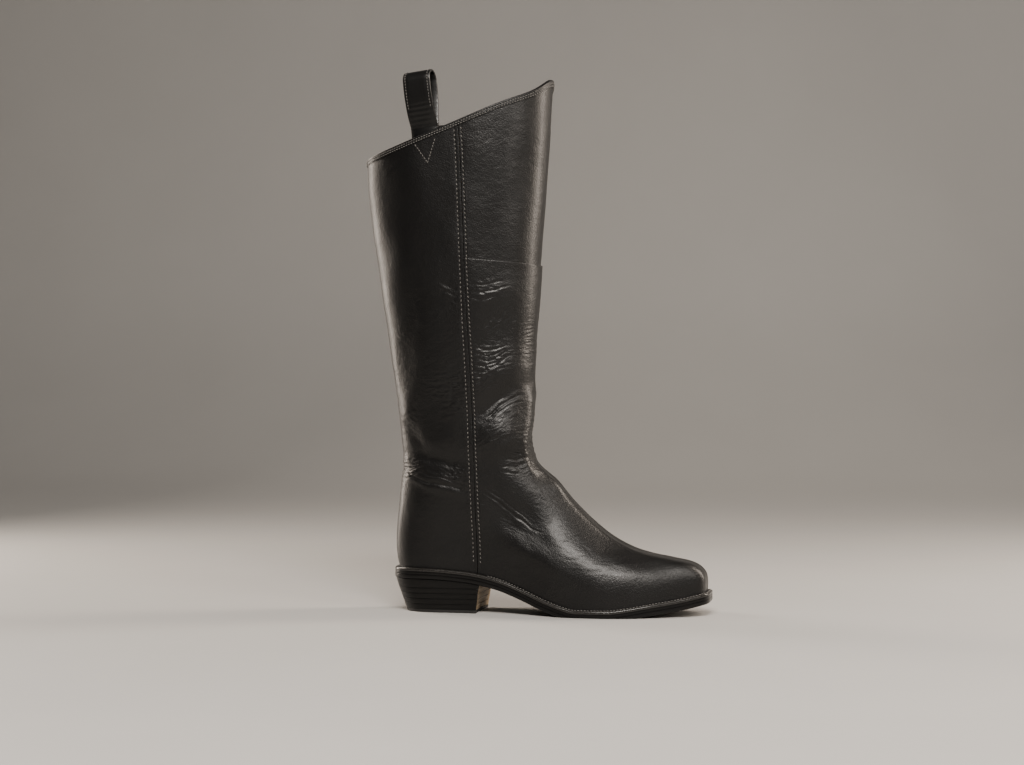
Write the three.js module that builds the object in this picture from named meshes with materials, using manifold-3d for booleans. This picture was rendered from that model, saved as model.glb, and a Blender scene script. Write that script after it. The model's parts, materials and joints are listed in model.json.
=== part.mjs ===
// Tall leather riding boot, right foot, built in layers the way a welted boot is made.
// Millimetres. Origin: centre of the heel's ground face. +X to the toe, +Z up, +Y medial.
import * as THREE from 'three';
import { mergeVertices } from 'three/addons/utils/BufferGeometryUtils.js';
import Module from 'manifold-3d';

const wasm = await Module();
wasm.setup();

// ---- overall sizes ----
const TOE_REACH = 245;           // front of the upper, ahead of the heel's centre
const PEAK_HEIGHT = 495;         // top line at the front
const BACK_HEIGHT = 425;         // top line at the back
const THROAT_FRONT = 171;        // height of the narrowest place, front and back
const THROAT_BACK = 150;
const SHAFT_WIDTH = 100;         // across the shaft at the top

// ---- leather layers, as distances from the boot's outer face (negative is inwards) ----
const GAP = 0.3;                 // clearance between two layers that touch on the real boot
const FEATHER_GAP = 0.4;         // the same between the upper and the welt it stands on
const UPPER = 2.0;               // outer leather
const LINING = 1.1;              // lining leather
const STIFFENER = 1.5;           // toe puff and heel counter
const SHAFT_LINING_AT = -(UPPER + GAP);
const FOOT_LINING_AT = SHAFT_LINING_AT - STIFFENER - GAP;
const STAY = 0.8;                // tape over the side seam, inside
const STAY_AT = SHAFT_LINING_AT - LINING - GAP;
const BINDING = 0.9;             // folded strip over the top line
const BINDING_DEPTH = 5.2;
const OVERLAP = 9;               // the vamp laps over the upper front panel
const LAP_RISE = 60;             // and rises by one thickness over this length
const SEAM_HALF_GAP = 0.0026;    // radians, half of the side seam's groove
const BINDING_ROUND = 0.5;       // height of the binding's outer corners over the top line
const BINDING_SHOULDER = 0.8;    // and how far they lean in
const LINING_LOW = 0.03;         // where the shaft lining starts, as a share of the shaft
const LINING_SHORT = 0.5;        // how far it stops below the top line
const FOOT_LINING_HIGH = 0.97;   // where the foot linings end, as a share of the foot's rise
const STIFFENER_LOW = 0.01;      // the same for the stiffeners' lower edge
const PUFF_HIGH = 0.37;          // and for the tops of the toe puff
const COUNTER_HIGH = 0.46;       // and of the heel counter
const PUFF_HALF = 36;            // degrees to each side of the toe
const COUNTER_FROM = 108;        // degrees round from the toe to the counter's front edge
const STAY_COLS = [83, 86.5, 90, 94, 98];
const STAY_LOW = 0.05;           // where the seam tape starts, as a share of the shaft
const STAY_SHORT = 1;            // how far it stops below the binding

// ---- sole stack, as distances below the welt's top face ----
const WELT = 3.0;
const MIDSOLE = 2.4;
const OUTSOLE = 4.3;
const WELT_EDGE = 4.1;           // how far the sole stands out from the upper
const WELT_INNER = -8;
const STACK = WELT + MIDSOLE + OUTSOLE + 2 * GAP;
const INSOLE = 2.5;
const SOCK = 1.0;
const INSOLE_PLAY = 0.5;         // between the insole's edge and the lining
const CUT_SPARE = 20;            // how far a cutting shape reaches past the piece it cuts

const SHANK_FROM = 2;
const SHANK_TO = 122;
const SHANK_HALF_WIDTH = 8;
const SHANK_INSET = 0.5;         // below the welt's top face and above its bottom face

// ---- colours and roughness ----
const CALF = 0x16120e;
const TAN = 0x8a6f4d;
const BOARD = 0x63523f;
const TAPE = 0x5b452f;
const CORK = 0x9a7448;
const STEEL = 0x94989d;
const STAINED = 0x1c1712;
const STACKED = 0x2a211a;
const RUBBER = 0x14110e;
const SATIN = 0.37;
const HALF_DULL = 0.55;
const DULL = 0.85;

// ---- heel ----
const TOP_LIFT = 6.6;
const LIFTS = 4;
const WEDGE_EDGE = 2.6;          // thin edge of the wedge, at the breast
const HEEL_BACK_TOP = -47.5;
const HEEL_BREAST_TOP = 39.5;
const HEEL_BACK_BASE = -34.2;
const HEEL_BREAST_BASE = 34.2;
const HEEL_BASE_WIDTH = 0.875;   // width at the ground over the width at the sole
const HEEL_LOFT_TOP = 36;
const HEEL_ROOM = 80;            // half the side of the box that each lift is cut with
const BREAST_MARGIN = 1;         // keeps the sole's own points off the line of the breast
const TRIM = 0.1;                // keeps the wedge's cut off the end of the loft
const SCREW_RADIUS = 2.4;
const SCREW_SIDES = 20;
const SCREW_LENGTH = 30;
const SCREW_X = -8;

// ---- pull straps ----
const STRAP_WIDTH = 27;
const STRAP_ANGLE = 110.5;       // degrees round the shaft from the front
const STRAP_LEAN = 6;            // degrees back from upright
const STRAP_CLEAR = 4.8;         // hinge line above the top line at the strap's front edge
const STRAP_HEIGHT = 52;
const STRAP_LEATHER = 2.0;
const STRAP_PINCH = 2.1;         // half thickness where both layers meet
const STRAP_BULGE = 9.5;         // half thickness of the open loop
const STRAP_OPENS = 36;          // height over which the loop opens out
const STRAP_TAIL = 46;           // length sewn inside the shaft
const STRAP_TAIL_AT = STAY_AT - BINDING - GAP;
const STRAP_TAIL_CLEAR = 2.4;    // the sewn tail stops this far short of the turning loop
const FAR_STRAP_FOLD = 100;      // degrees the far loop has flopped inwards

// ---- profiles ----
// Welt top height along the boot: x, z.
const SEAT = [[-60, 45.2], [-47, 45], [-8, 44.8], [20, 42.8], [39, 40.2], [58, 35.6], [77, 28.6],
  [96, 20.6], [115, 13.8], [130, 10.3], [160, 10.3], [177, 12.4], [198, 15.9], [224, 20.2],
  [241, 24], [256, 27.6]];
// Outline of the upper at the welt: angle round the boot, x, y. Medial side, then lateral side.
const OUTLINE_MEDIAL = [[0, 245, 3], [8, 245, 14.5], [13, 243.6, 20], [18, 238.5, 25],
  [27, 222, 31.8],
  [38, 195, 39.5], [50, 165, 43.5], [62, 125, 40.5], [75, 80, 30], [90, 36.3, 25.5],
  [105, 9, 27.2], [120, -12, 27.6], [135, -28.5, 24.2], [150, -38.8, 17], [165, -42.9, 8.6],
  [180, -43.5, 0]];
const OUTLINE_LATERAL = [[0, 245, 3], [8, 245, -9.5], [13, 243.2, -15.5], [18, 237, -20.8],
  [27, 218, -29],
  [38, 190, -40.5], [50, 158, -47.5], [62, 120, -45.5], [75, 76, -35.5], [90, 36.3, -30],
  [105, 9, -28.6], [120, -12, -27.8], [135, -28.5, -24.2], [150, -38.8, -17],
  [165, -42.9, -8.6], [180, -43.5, 0]];
// Front centre line of the foot: share of the way up, x, z.
const FOOT_FRONT = [[0, 245.2, 24.9], [0.08, 245, 38], [0.12, 242, 45], [0.17, 233, 51],
  [0.25, 214, 55.4], [0.33, 194.5, 58.8], [0.41, 176, 64], [0.5, 157.5, 74], [0.58, 141.5, 87],
  [0.66, 127.5, 101.3], [0.75, 112, 118.6], [0.83, 97, 133.2], [0.89, 87.6, 143],
  [0.94, 83, 155.5], [1, 80.4, 171]];
// Back centre line of the foot: share of the way up, x.
const FOOT_BACK = [[0, -43.5], [0.1, -45.8], [0.25, -46.8], [0.41, -45.7], [0.55, -44],
  [0.7, -42.6], [0.85, -41.3], [1, -40.6]];
// Shaft: share of the way up, front x, back x, seam x, width over the width at the top.
const SHAFT = [[0, 80.4, -40.6, 34, 0.75], [0.08, 84, -42.8, 33.2, 0.78],
  [0.2, 85.3, -46.6, 32, 0.84], [0.35, 87.4, -52.6, 30, 0.908], [0.5, 90.4, -59.2, 28.2, 0.956],
  [0.65, 94.2, -65.2, 26.6, 0.98], [0.8, 98, -71, 25, 0.996], [0.9, 99.8, -74.2, 23.8, 1],
  [1, 101.8, -75.6, 22, 1]];
const TOP_DIP = 6;               // the top line sags at the sides
const DIP_FROM = 0.8;            // share of the shaft where the dip of the top line begins
const SECTION_FULLNESS = 0.028;  // rounds the oval towards a soft rectangle
const ANKLE = 0.4;               // share of v at which the foot gives way to the shaft
const CROSS_SEAM_FRONT = 326.5;  // height of the vamp's top edge, at the front
const CROSS_SEAM_SIDE = 331.5;   // and at the side seams

const group = new THREE.Group();

const lerp = (a, b, t) => a + (b - a) * t;
const clamp01 = (t) => Math.min(1, Math.max(0, t));
const smooth = (t) => clamp01(t) ** 2 * (3 - 2 * clamp01(t));
const rad = (deg) => deg * Math.PI / 180;

// Cubic through the knots (first column is the parameter), one value column at a time.
function curve(knots, column) {
  const t = knots.map((k) => k[0]);
  const p = knots.map((k) => k[column]);
  const last = t.length - 1;
  const slope = p.map((_, i) => {
    const a = Math.max(0, i - 1);
    const b = Math.min(last, i + 1);
    return (p[b] - p[a]) / (t[b] - t[a]);
  });
  return (x) => {
    if (x <= t[0]) return p[0] + slope[0] * (x - t[0]);
    if (x >= t[last]) return p[last] + slope[last] * (x - t[last]);
    let i = 0;
    while (x > t[i + 1]) i += 1;
    const h = t[i + 1] - t[i];
    const s = (x - t[i]) / h;
    const s2 = s * s;
    const s3 = s2 * s;
    return (2 * s3 - 3 * s2 + 1) * p[i] + (s3 - 2 * s2 + s) * h * slope[i]
      + (-2 * s3 + 3 * s2) * p[i + 1] + (s3 - s2) * h * slope[i + 1];
  };
}

// Ahead of the heel's breast the sole's outline and line stretch with the boot's length.
const STRETCH = (TOE_REACH - HEEL_BREAST_TOP) / (OUTLINE_MEDIAL[0][1] - HEEL_BREAST_TOP);
const reach = (x) => x + Math.max(0, x - HEEL_BREAST_TOP) * (STRETCH - 1);

const seatCurve = curve(SEAT.map(([x, z]) => [reach(x), z]), 1);
const outline = [OUTLINE_MEDIAL, OUTLINE_LATERAL].flatMap((table) => {
  const stretched = table.map(([deg, x, y]) => [deg, reach(x), y]);
  return [curve(stretched, 1), curve(stretched, 2)];
});
const footFront = [curve(FOOT_FRONT, 1), curve(FOOT_FRONT, 2)];
const footBack = curve(FOOT_BACK, 1);
const shaft = [1, 2, 3, 4].map((c) => curve(SHAFT, c));

// Stations along the boot that every flat layer shares, so their faces stay parallel.
const STATIONS = [-60, -47, -8, 8, 20, 30, 39, 48, 58, 67, 77, 86, 96, 105, 115, 122, 130,
  160, 168, 177, 187, 198, 211, 224, 233, 241, 256].map(reach);
// The seat is flat under the ball of the foot so that the tread rests on a true plane.
function seat(x) {
  const i = Math.max(0, STATIONS.findIndex((s) => s >= x) - 1);
  const a = STATIONS[i];
  const b = STATIONS[i + 1];
  return lerp(seatCurve(a), seatCurve(b), (x - a) / (b - a));
}

// Outline of the upper at the welt, at an angle in degrees from -180 to 180.
function outlineAt(deg) {
  const a = Math.abs(deg);
  const side = deg >= 0 ? 0 : 2;
  return [outline[side](a), outline[side + 1](a)];
}

// Half an oval on each side of the seam line, slightly squared.
function shaftLoop(deg, t) {
  const [fx, bx, sx, width] = shaft.map((f) => f(t));
  const fz = lerp(THROAT_FRONT, PEAK_HEIGHT, t);
  const bz = lerp(THROAT_BACK, BACK_HEIGHT, t);
  const u = rad(deg);
  const c = Math.cos(u);
  const s = Math.sin(u);
  const full = 1 + SECTION_FULLNESS * Math.sin(2 * u) ** 2;
  const depth = c >= 0 ? fx - sx : sx - bx;
  const x = sx + depth * c * full;
  const z = bz + (fz - bz) * (x - bx) / (fx - bx);
  const dip = TOP_DIP * clamp01((t - DIP_FROM) / (1 - DIP_FROM)) * s * s;
  return [x, width * SHAFT_WIDTH / 2 * s * full, z - dip];
}

// The foot: each point goes from the welt outline to the ankle loop. At the front it goes the
// way the instep does, at the sides and back it goes straight up.
function footPoint(deg, w) {
  const [ox, oy] = outlineAt(deg);
  const [ax, ay, az] = shaftLoop(deg, 0);
  const oz = seat(ox) + FEATHER_GAP;
  const [toe, top] = [footFront[0](0), footFront[0](1)];
  const [low, high] = [footFront[1](0), footFront[1](1)];
  const side = Math.abs(deg) >= 90 ? 1 : Math.sin(rad(deg)) ** 2;
  const across = lerp((toe - footFront[0](w)) / (toe - top), smooth(w), side);
  const up = lerp((footFront[1](w) - low) / (high - low), w, side);
  const back = Math.min(0, Math.cos(rad(deg))) ** 2;
  const bulge = footBack(w) - lerp(footBack(0), footBack(1), smooth(w));
  return [lerp(ox, ax, across) + bulge * back, lerp(oy, ay, across), lerp(oz, az, up)];
}

function surfacePoint(deg, v) {
  const wrapped = deg - 360 * Math.round(deg / 360);
  return v < ANKLE ? footPoint(wrapped, v / ANKLE) : shaftLoop(wrapped, (v - ANKLE) / (1 - ANKLE));
}

// Point of the boot's outer face moved along its normal.
function surface(deg, v, offset) {
  const p = surfacePoint(deg, v);
  const e = 0.6;
  const f = 0.004;
  const a = surfacePoint(deg + e, v);
  const b = surfacePoint(deg - e, v);
  const c = surfacePoint(deg, v + f);
  const d = surfacePoint(deg, Math.max(0, v - f));
  const along = new THREE.Vector3(a[0] - b[0], a[1] - b[1], a[2] - b[2]);
  const up = new THREE.Vector3(c[0] - d[0], c[1] - d[1], c[2] - d[2]);
  const n = along.cross(up).normalize();
  return [p[0] + n.x * offset, p[1] + n.y * offset, p[2] + n.z * offset];
}

// ---- columns round the boot and rows up it that all the leather pieces share ----
const shaftShare = (t) => ANKLE + (1 - ANKLE) * t;

const SHAFT_LENGTH = (PEAK_HEIGHT - THROAT_FRONT + BACK_HEIGHT - THROAT_BACK) / 2;
const mm = (length) => length / SHAFT_LENGTH * (1 - ANKLE);
const flat = (value) => () => value;

// Where on a column the vamp's top edge runs, so that it lies almost level on the leg.
function crossSeam(deg) {
  const target = lerp(CROSS_SEAM_SIDE, CROSS_SEAM_FRONT, Math.cos(rad(deg)));
  let t = 0.5;
  for (let i = 0; i < 8; i += 1) {
    t += (target - shaftLoop(deg, t)[2]) / SHAFT_LENGTH;
  }
  return shaftShare(t);
}

const seamGap = SEAM_HALF_GAP * 180 / Math.PI;
const FRONT_SIDE = [5, 10, 15, 21, 28, 36, 45, 54, 62, 69, 76, 83, 90 - seamGap];
const FRONT_COLS = [...FRONT_SIDE.map((d) => -d).reverse(), 0, ...FRONT_SIDE];
const BACK_SIDE = [90 + seamGap, 98, 108, 119, 130, 142, 154, 167];
const BACK_COLS = [...BACK_SIDE, 180, ...BACK_SIDE.map((d) => 360 - d).reverse()];
const ROUND_COLS = [...FRONT_COLS.slice(1, -1), 90, ...BACK_COLS.slice(1, -1), 270];
const FOOT_ROWS = [0, 0.06, 0.11, 0.16, 0.22, 0.29, 0.37, 0.46, 0.56, 0.66, 0.76, 0.86, 0.93]
  .map((w) => w * ANKLE);
const SHAFT_ROWS = [0, 0.07, 0.16, 0.27, 0.4, 0.53, 0.66, 0.8, 0.92].map(shaftShare);
const ROWS = [...FOOT_ROWS, ...SHAFT_ROWS];

// ---- solids from grids ----
function meshGeometry(points, triangles) {
  const geometry = new THREE.BufferGeometry();
  geometry.setAttribute('position', new THREE.Float32BufferAttribute(points.flat(), 3));
  geometry.setIndex(triangles);
  return geometry;
}

// Closed solid between an outer and an inner grid, both rows x columns.
function shell(outer, inner) {
  const rows = outer.length;
  const cols = outer[0].length;
  const points = [...outer.flat(), ...inner.flat()];
  const shift = rows * cols;
  const at = (r, c) => r * cols + c;
  const triangles = [];
  const quad = (a, b, c, d) => triangles.push(a, b, c, a, c, d);
  const top = rows - 1;
  const end = cols - 1;
  for (let r = 0; r < top; r += 1) {
    for (let c = 0; c < end; c += 1) {
      quad(at(r, c), at(r, c + 1), at(r + 1, c + 1), at(r + 1, c));
      quad(shift + at(r, c), shift + at(r + 1, c), shift + at(r + 1, c + 1), shift + at(r, c + 1));
    }
  }
  for (let c = 0; c < end; c += 1) {
    quad(at(0, c), shift + at(0, c), shift + at(0, c + 1), at(0, c + 1));
    quad(at(top, c), at(top, c + 1), shift + at(top, c + 1), shift + at(top, c));
  }
  for (let r = 0; r < top; r += 1) {
    quad(at(r, 0), at(r + 1, 0), shift + at(r + 1, 0), shift + at(r, 0));
    quad(at(r, end), shift + at(r, end), shift + at(r + 1, end), at(r + 1, end));
  }
  return meshGeometry(points, triangles);
}

// A leather piece: part of the boot's surface, with a face at each of two offsets. Every piece
// uses the same columns and rows, so that layers stay parallel.
function panel({ cols, rows, outer, inner }) {
  const grids = cols.map((deg) => rows(deg).map((v) => [deg, v]));
  const count = grids[0].length;
  const grid = (offset) => Array.from({ length: count }, (_, r) => grids.map((column) => {
    const [deg, v] = column[r];
    const p = surface(deg, v, offset(deg, v));
    if (v <= 0) p[2] = seat(p[0]) + FEATHER_GAP;
    return p;
  }));
  return shell(grid(outer), grid(inner));
}

function add(name, geometry, colour, roughness = 0.5) {
  const material = new THREE.MeshStandardMaterial({ color: colour, roughness });
  material.name = name;
  const mesh = new THREE.Mesh(geometry, material);
  mesh.name = name;
  group.add(mesh);
}

// ---- joining and cutting ----
function toSolid(geometry) {
  geometry.deleteAttribute('normal');
  geometry.deleteAttribute('uv');
  const merged = mergeVertices(geometry);
  return new wasm.Manifold(new wasm.Mesh({
    numProp: 3,
    vertProperties: new Float32Array(merged.attributes.position.array),
    triVerts: new Uint32Array(merged.index.array),
  }));
}

function fromSolid(solid) {
  const mesh = solid.getMesh();
  const geometry = new THREE.BufferGeometry();
  geometry.setAttribute('position', new THREE.BufferAttribute(mesh.vertProperties, 3));
  geometry.setIndex(new THREE.BufferAttribute(mesh.triVerts, 1));
  return geometry;
}

// ---- flat layers of the sole ----
// The upper's outline moved outwards in plan, at the columns that the leather pieces share.
function outlineLoop(offset) {
  return ROUND_COLS.map((deg) => surface(deg, 0, offset).slice(0, 2));
}

// Where a closed loop crosses a line of constant x: lowest and highest y.
function crossings(loop, x) {
  const found = [];
  loop.forEach((p, i) => {
    const q = loop[(i + 1) % loop.length];
    if ((p[0] - x) * (q[0] - x) <= 0 && p[0] !== q[0]) {
      found.push(lerp(p[1], q[1], (x - p[0]) / (q[0] - p[0])));
    }
  });
  return [Math.min(...found), Math.max(...found)];
}

// A layer with the loop as its outline, between two distances from the seat.
function layer(loop, low, high) {
  const xs = loop.map((p) => p[0]);
  const start = Math.min(...xs) + 0.05;
  const end = Math.max(...xs) - 0.05;
  const ends = [0, 0.4, 1.2, 2.6, 4.6, 7.5, 11.5, 17];
  const own = [...ends.map((d) => start + d), ...ends.map((d) => end - d),
    ...STATIONS.filter((s) => s > start && s < end)];
  const stations = [...new Set(own)].sort((a, b) => a - b)
    .filter((s, i, all) => i === 0 || s - all[i - 1] > 0.2 || STATIONS.includes(s));
  const rail = (height) => stations.map((x) => {
    const [y0, y1] = crossings(loop, x);
    const z = seat(x) + height;
    return [[x, y0, z], [x, y1, z]];
  });
  const [under, over] = [rail(low), rail(high)];
  const points = [...under.flat(), ...over.flat()];
  const n = stations.length * 2;
  const triangles = [];
  const quad = (a, b, c, d) => triangles.push(a, b, c, a, c, d);
  for (let i = 0; i < n - 2; i += 2) {
    quad(i, i + 1, i + 3, i + 2);
    quad(n + i, n + i + 2, n + i + 3, n + i + 1);
    quad(i, i + 2, n + i + 2, n + i);
    quad(i + 1, n + i + 1, n + i + 3, i + 3);
  }
  quad(0, n, n + 1, 1);
  quad(n - 2, n - 1, 2 * n - 1, 2 * n - 2);
  return toSolid(meshGeometry(points, triangles));
}

function box(x0, x1, y0, y1, z0, z1) {
  const geometry = new THREE.BoxGeometry(x1 - x0, y1 - y0, z1 - z0);
  return toSolid(geometry.translate((x0 + x1) / 2, (y0 + y1) / 2, (z0 + z1) / 2));
}

// An upright cylinder on the heel screw's axis.
function upright(radius, z0, z1) {
  const geometry = new THREE.CylinderGeometry(radius, radius, z1 - z0, SCREW_SIDES);
  return toSolid(geometry.rotateX(Math.PI / 2).translate(SCREW_X, 0, (z0 + z1) / 2));
}

// ---- heel ----
function heelLoop(z) {
  const t = z / HEEL_LOFT_TOP;
  const x0 = lerp(HEEL_BACK_BASE, HEEL_BACK_TOP, t);
  const x1 = lerp(HEEL_BREAST_BASE, HEEL_BREAST_TOP, t);
  const narrow = lerp(HEEL_BASE_WIDTH, 1, t);
  const sole = outlineLoop(WELT_EDGE).filter((p) => p[0] < HEEL_BREAST_TOP - BREAST_MARGIN);
  const edge = crossings(outlineLoop(WELT_EDGE), HEEL_BREAST_TOP);
  const whole = [[HEEL_BREAST_TOP, edge[0]], ...sole, [HEEL_BREAST_TOP, edge[1]]];
  const ordered = whole.sort((p, q) => heelTurn(p) - heelTurn(q));
  const share = (x) => (x - HEEL_BACK_TOP) / (HEEL_BREAST_TOP - HEEL_BACK_TOP);
  return ordered.map(([x, y]) => [lerp(x0, x1, share(x)), y * narrow, z]);
}

function heelTurn([x, y]) {
  return Math.atan2(y, x);
}

function heelBlock() {
  const bottom = heelLoop(0);
  const top = heelLoop(HEEL_LOFT_TOP);
  const n = bottom.length;
  const points = [...bottom, ...top, [0, 0, 0], [0, 0, HEEL_LOFT_TOP]];
  const triangles = [];
  for (let i = 0; i < n; i += 1) {
    const j = (i + 1) % n;
    triangles.push(i, j, n + j, i, n + j, n + i);
    triangles.push(2 * n, j, i, 2 * n + 1, n + i, n + j);
  }
  return toSolid(meshGeometry(points, triangles));
}

// ---- pull straps ----
function strapFrame(side) {
  const deg = STRAP_ANGLE * side;
  const at = new THREE.Vector3(...surface(deg, 1, STRAP_TAIL_AT - STRAP_PINCH));
  const out = new THREE.Vector3(...surface(deg, 1, 10)).sub(at).setZ(0).normalize();
  const level = new THREE.Vector3(0, 0, 1).cross(out).multiplyScalar(side).negate();
  const lean = rad(STRAP_LEAN);
  const across = level.clone().multiplyScalar(Math.cos(lean));
  across.z = Math.sin(lean);
  const up = new THREE.Vector3().crossVectors(across, out).multiplyScalar(side);
  const slope = (PEAK_HEIGHT - BACK_HEIGHT) / (shaft[0](1) - shaft[1](1));
  at.z += STRAP_CLEAR + STRAP_WIDTH / 2 * (slope - Math.tan(lean));
  return { at, out, across, up };
}

// Half thickness of the loop at a height over the hinge line.
function strapHalf(w) {
  return lerp(STRAP_PINCH, STRAP_BULGE, Math.sin(Math.PI / 2 * clamp01(w / STRAP_OPENS)));
}

// Cross-section of the folded strap: outwards, upwards.
function strapProfile() {
  const crown = STRAP_HEIGHT - STRAP_BULGE;
  const flank = [0, 5, 10, 15, 20, 25, 30, 36, crown].map((w) => [strapHalf(w), w]);
  const arc = [25, 50, 75, 90, 105, 130, 155].map((a) => (
    [STRAP_BULGE * Math.cos(rad(a)), crown + STRAP_BULGE * Math.sin(rad(a))]));
  const left = flank.map(([n, w]) => [-n, w]).reverse();
  const foot = [210, 240, 270, 300, 330].map((a) => (
    [STRAP_PINCH * Math.cos(rad(a)), STRAP_PINCH * Math.sin(rad(a))]));
  return [...flank, ...arc, ...left, ...foot];
}

function strapHole() {
  const crown = STRAP_HEIGHT - STRAP_BULGE;
  const inner = STRAP_BULGE - STRAP_LEATHER;
  const flank = [12, 15, 20, 25, 30, 36, crown].map((w) => [strapHalf(w) - STRAP_LEATHER, w]);
  const arc = [30, 60, 90, 120, 150].map((a) => (
    [inner * Math.cos(rad(a)), crown + inner * Math.sin(rad(a))]));
  return [...flank, ...arc, ...flank.map(([n, w]) => [-n, w]).reverse()];
}

function strapLoop(side, fold) {
  const shape = new THREE.Shape(strapProfile().map(([n, w]) => new THREE.Vector2(n, w)));
  shape.holes.push(new THREE.Path(strapHole().map(([n, w]) => new THREE.Vector2(n, w))));
  const geometry = new THREE.ExtrudeGeometry(shape, { depth: STRAP_WIDTH, bevelEnabled: false });
  geometry.translate(0, 0, -STRAP_WIDTH / 2);
  geometry.rotateZ(rad(fold));
  const { at, out, across, up } = strapFrame(side);
  const third = new THREE.Vector3().crossVectors(out, up);
  const place = new THREE.Matrix4().makeBasis(out, up, third).setPosition(at);
  geometry.applyMatrix4(place);
  return geometry;
}

// The sewn tail: a strip on the inside of the shaft, cut off just under the hinge line.
function strapTail(side) {
  const { at, across, up } = strapFrame(side);
  const cols = 9;
  const rows = 10;
  const half = STRAP_WIDTH / 2;
  const grid = (offset) => Array.from({ length: rows }, (_, r) => (
    Array.from({ length: cols }, (__, c) => {
      const s = lerp(half, -half, c / (cols - 1)) * side;
      const w = lerp(-STRAP_TAIL, -STRAP_PINCH - STRAP_TAIL_CLEAR, r / (rows - 1));
      return onShaft(at.clone().addScaledVector(across, s).addScaledVector(up, w), side, offset);
    })));
  return shell(grid(STRAP_TAIL_AT), grid(STRAP_TAIL_AT - 2 * STRAP_PINCH));
}

// The point of an offset face of the shaft that is level with, and nearest to, a given point.
function onShaft(target, side, offset) {
  let deg = STRAP_ANGLE * side;
  let v = 0.95;
  for (let i = 0; i < 12; i += 1) {
    const p = surface(deg, v, offset);
    v += mm(target.z - p[2]);
    deg += (p[0] - target.x) * side * 0.55;
  }
  return surface(deg, v, offset);
}

// ---- the upper ----
// The shared rows that lie inside a piece, with its own two edges.
function rowsBetween(low, high) {
  const margin = 0.008;
  return [low, ...ROWS.filter((v) => v > low + margin && v < high - margin), high];
}

function lapped(depth) {
  return (deg, v) => {
    const below = crossSeam(deg) - v;
    return depth + (UPPER + GAP) * smooth(1 - (below / mm(1) - OVERLAP) / LAP_RISE);
  };
}

function buildUpper() {
  const seamRows = [OVERLAP + LAP_RISE / 4, OVERLAP + 1, 0];
  const vampRows = rowsBetween(0, crossSeam(0) - mm(OVERLAP + LAP_RISE / 3)).slice(0, -1);
  const upperRows = rowsBetween(crossSeam(90), 1).slice(1);
  add('front_shaft_panel', panel({
    cols: FRONT_COLS,
    rows: (d) => [crossSeam(d) - mm(OVERLAP), crossSeam(d), ...upperRows],
    outer: flat(0),
    inner: flat(-UPPER),
  }), CALF, SATIN);
  add('vamp', panel({
    cols: FRONT_COLS,
    rows: (d) => [...vampRows, ...seamRows.map((below) => crossSeam(d) - mm(below))],
    outer: lapped(0),
    inner: lapped(-UPPER),
  }), CALF, SATIN);
  add('back_panel', panel({
    cols: BACK_COLS,
    rows: () => rowsBetween(0, 1),
    outer: flat(0),
    inner: flat(-UPPER),
  }), CALF, SATIN);
}

function addLayer(name, cols, low, high, at, thickness, colour) {
  const rows = () => rowsBetween(low, high);
  add(name, panel({ cols, rows, outer: flat(at), inner: flat(at - thickness) }), colour, DULL);
}

function buildLinings() {
  const low = shaftShare(LINING_LOW);
  const high = 1 - mm(LINING_SHORT);
  const footHigh = ANKLE * FOOT_LINING_HIGH;
  addLayer('shaft_lining_front', FRONT_COLS, low, high, SHAFT_LINING_AT, LINING, TAN);
  addLayer('shaft_lining_back', BACK_COLS, low, high, SHAFT_LINING_AT, LINING, TAN);
  addLayer('vamp_lining', FRONT_COLS, 0, footHigh, FOOT_LINING_AT, LINING, TAN);
  addLayer('heel_lining', BACK_COLS, 0, footHigh, FOOT_LINING_AT, LINING, TAN);
}

function buildStiffeners() {
  const puff = FRONT_COLS.filter((d) => Math.abs(d) <= PUFF_HALF);
  const counter = BACK_COLS.filter((d) => d >= COUNTER_FROM && d <= 360 - COUNTER_FROM);
  const low = ANKLE * STIFFENER_LOW;
  addLayer('toe_puff', puff, low, ANKLE * PUFF_HIGH, SHAFT_LINING_AT, STIFFENER, BOARD);
  addLayer('heel_counter', counter, low, ANKLE * COUNTER_HIGH, SHAFT_LINING_AT, STIFFENER, BOARD);
}

function buildStays() {
  const near = STAY_COLS.map((d) => -d).reverse();
  const low = shaftShare(STAY_LOW);
  const high = 1 - mm(BINDING_DEPTH + STAY_SHORT);
  addLayer('seam_stay_near', near, low, high, STAY_AT, STAY, TAPE);
  addLayer('seam_stay_far', STAY_COLS, low, high, STAY_AT, STAY, TAPE);
}

// A strip folded over the top line: a closed section carried round the shaft.
function buildBinding() {
  const outside = GAP + BINDING;
  const inside = STAY_AT - BINDING;
  const skirt = mm(BINDING_DEPTH);
  const corner = mm(BINDING_ROUND);
  const over = mm(GAP + BINDING);
  const section = [[outside, -skirt], [outside, corner], [outside - BINDING_SHOULDER, over],
    [inside + BINDING_SHOULDER, over], [inside, corner], [inside, -skirt],
    [STAY_AT, -skirt], [STAY_AT, mm(GAP)], [GAP, mm(GAP)], [GAP, -skirt]];
  const cols = ROUND_COLS.length;
  const ring = ROUND_COLS.map((deg) => (
    section.map(([offset, rise]) => surface(deg, 1 + rise, offset))));
  const n = section.length;
  const triangles = [];
  for (let c = 0; c < cols; c += 1) {
    const d = (c + 1) % cols;
    for (let i = 0; i < n; i += 1) {
      const j = (i + 1) % n;
      triangles.push(c * n + i, d * n + i, d * n + j, c * n + i, d * n + j, c * n + j);
    }
  }
  add('top_binding', meshGeometry(ring.flat(), triangles), CALF, SATIN);
}

// ---- inside the foot and under it ----
const screwTop = seat(SCREW_X) + GAP + INSOLE;
const screwHole = () => (
  upright(SCREW_RADIUS + GAP, screwTop - SCREW_LENGTH - GAP, screwTop + CUT_SPARE));

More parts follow.
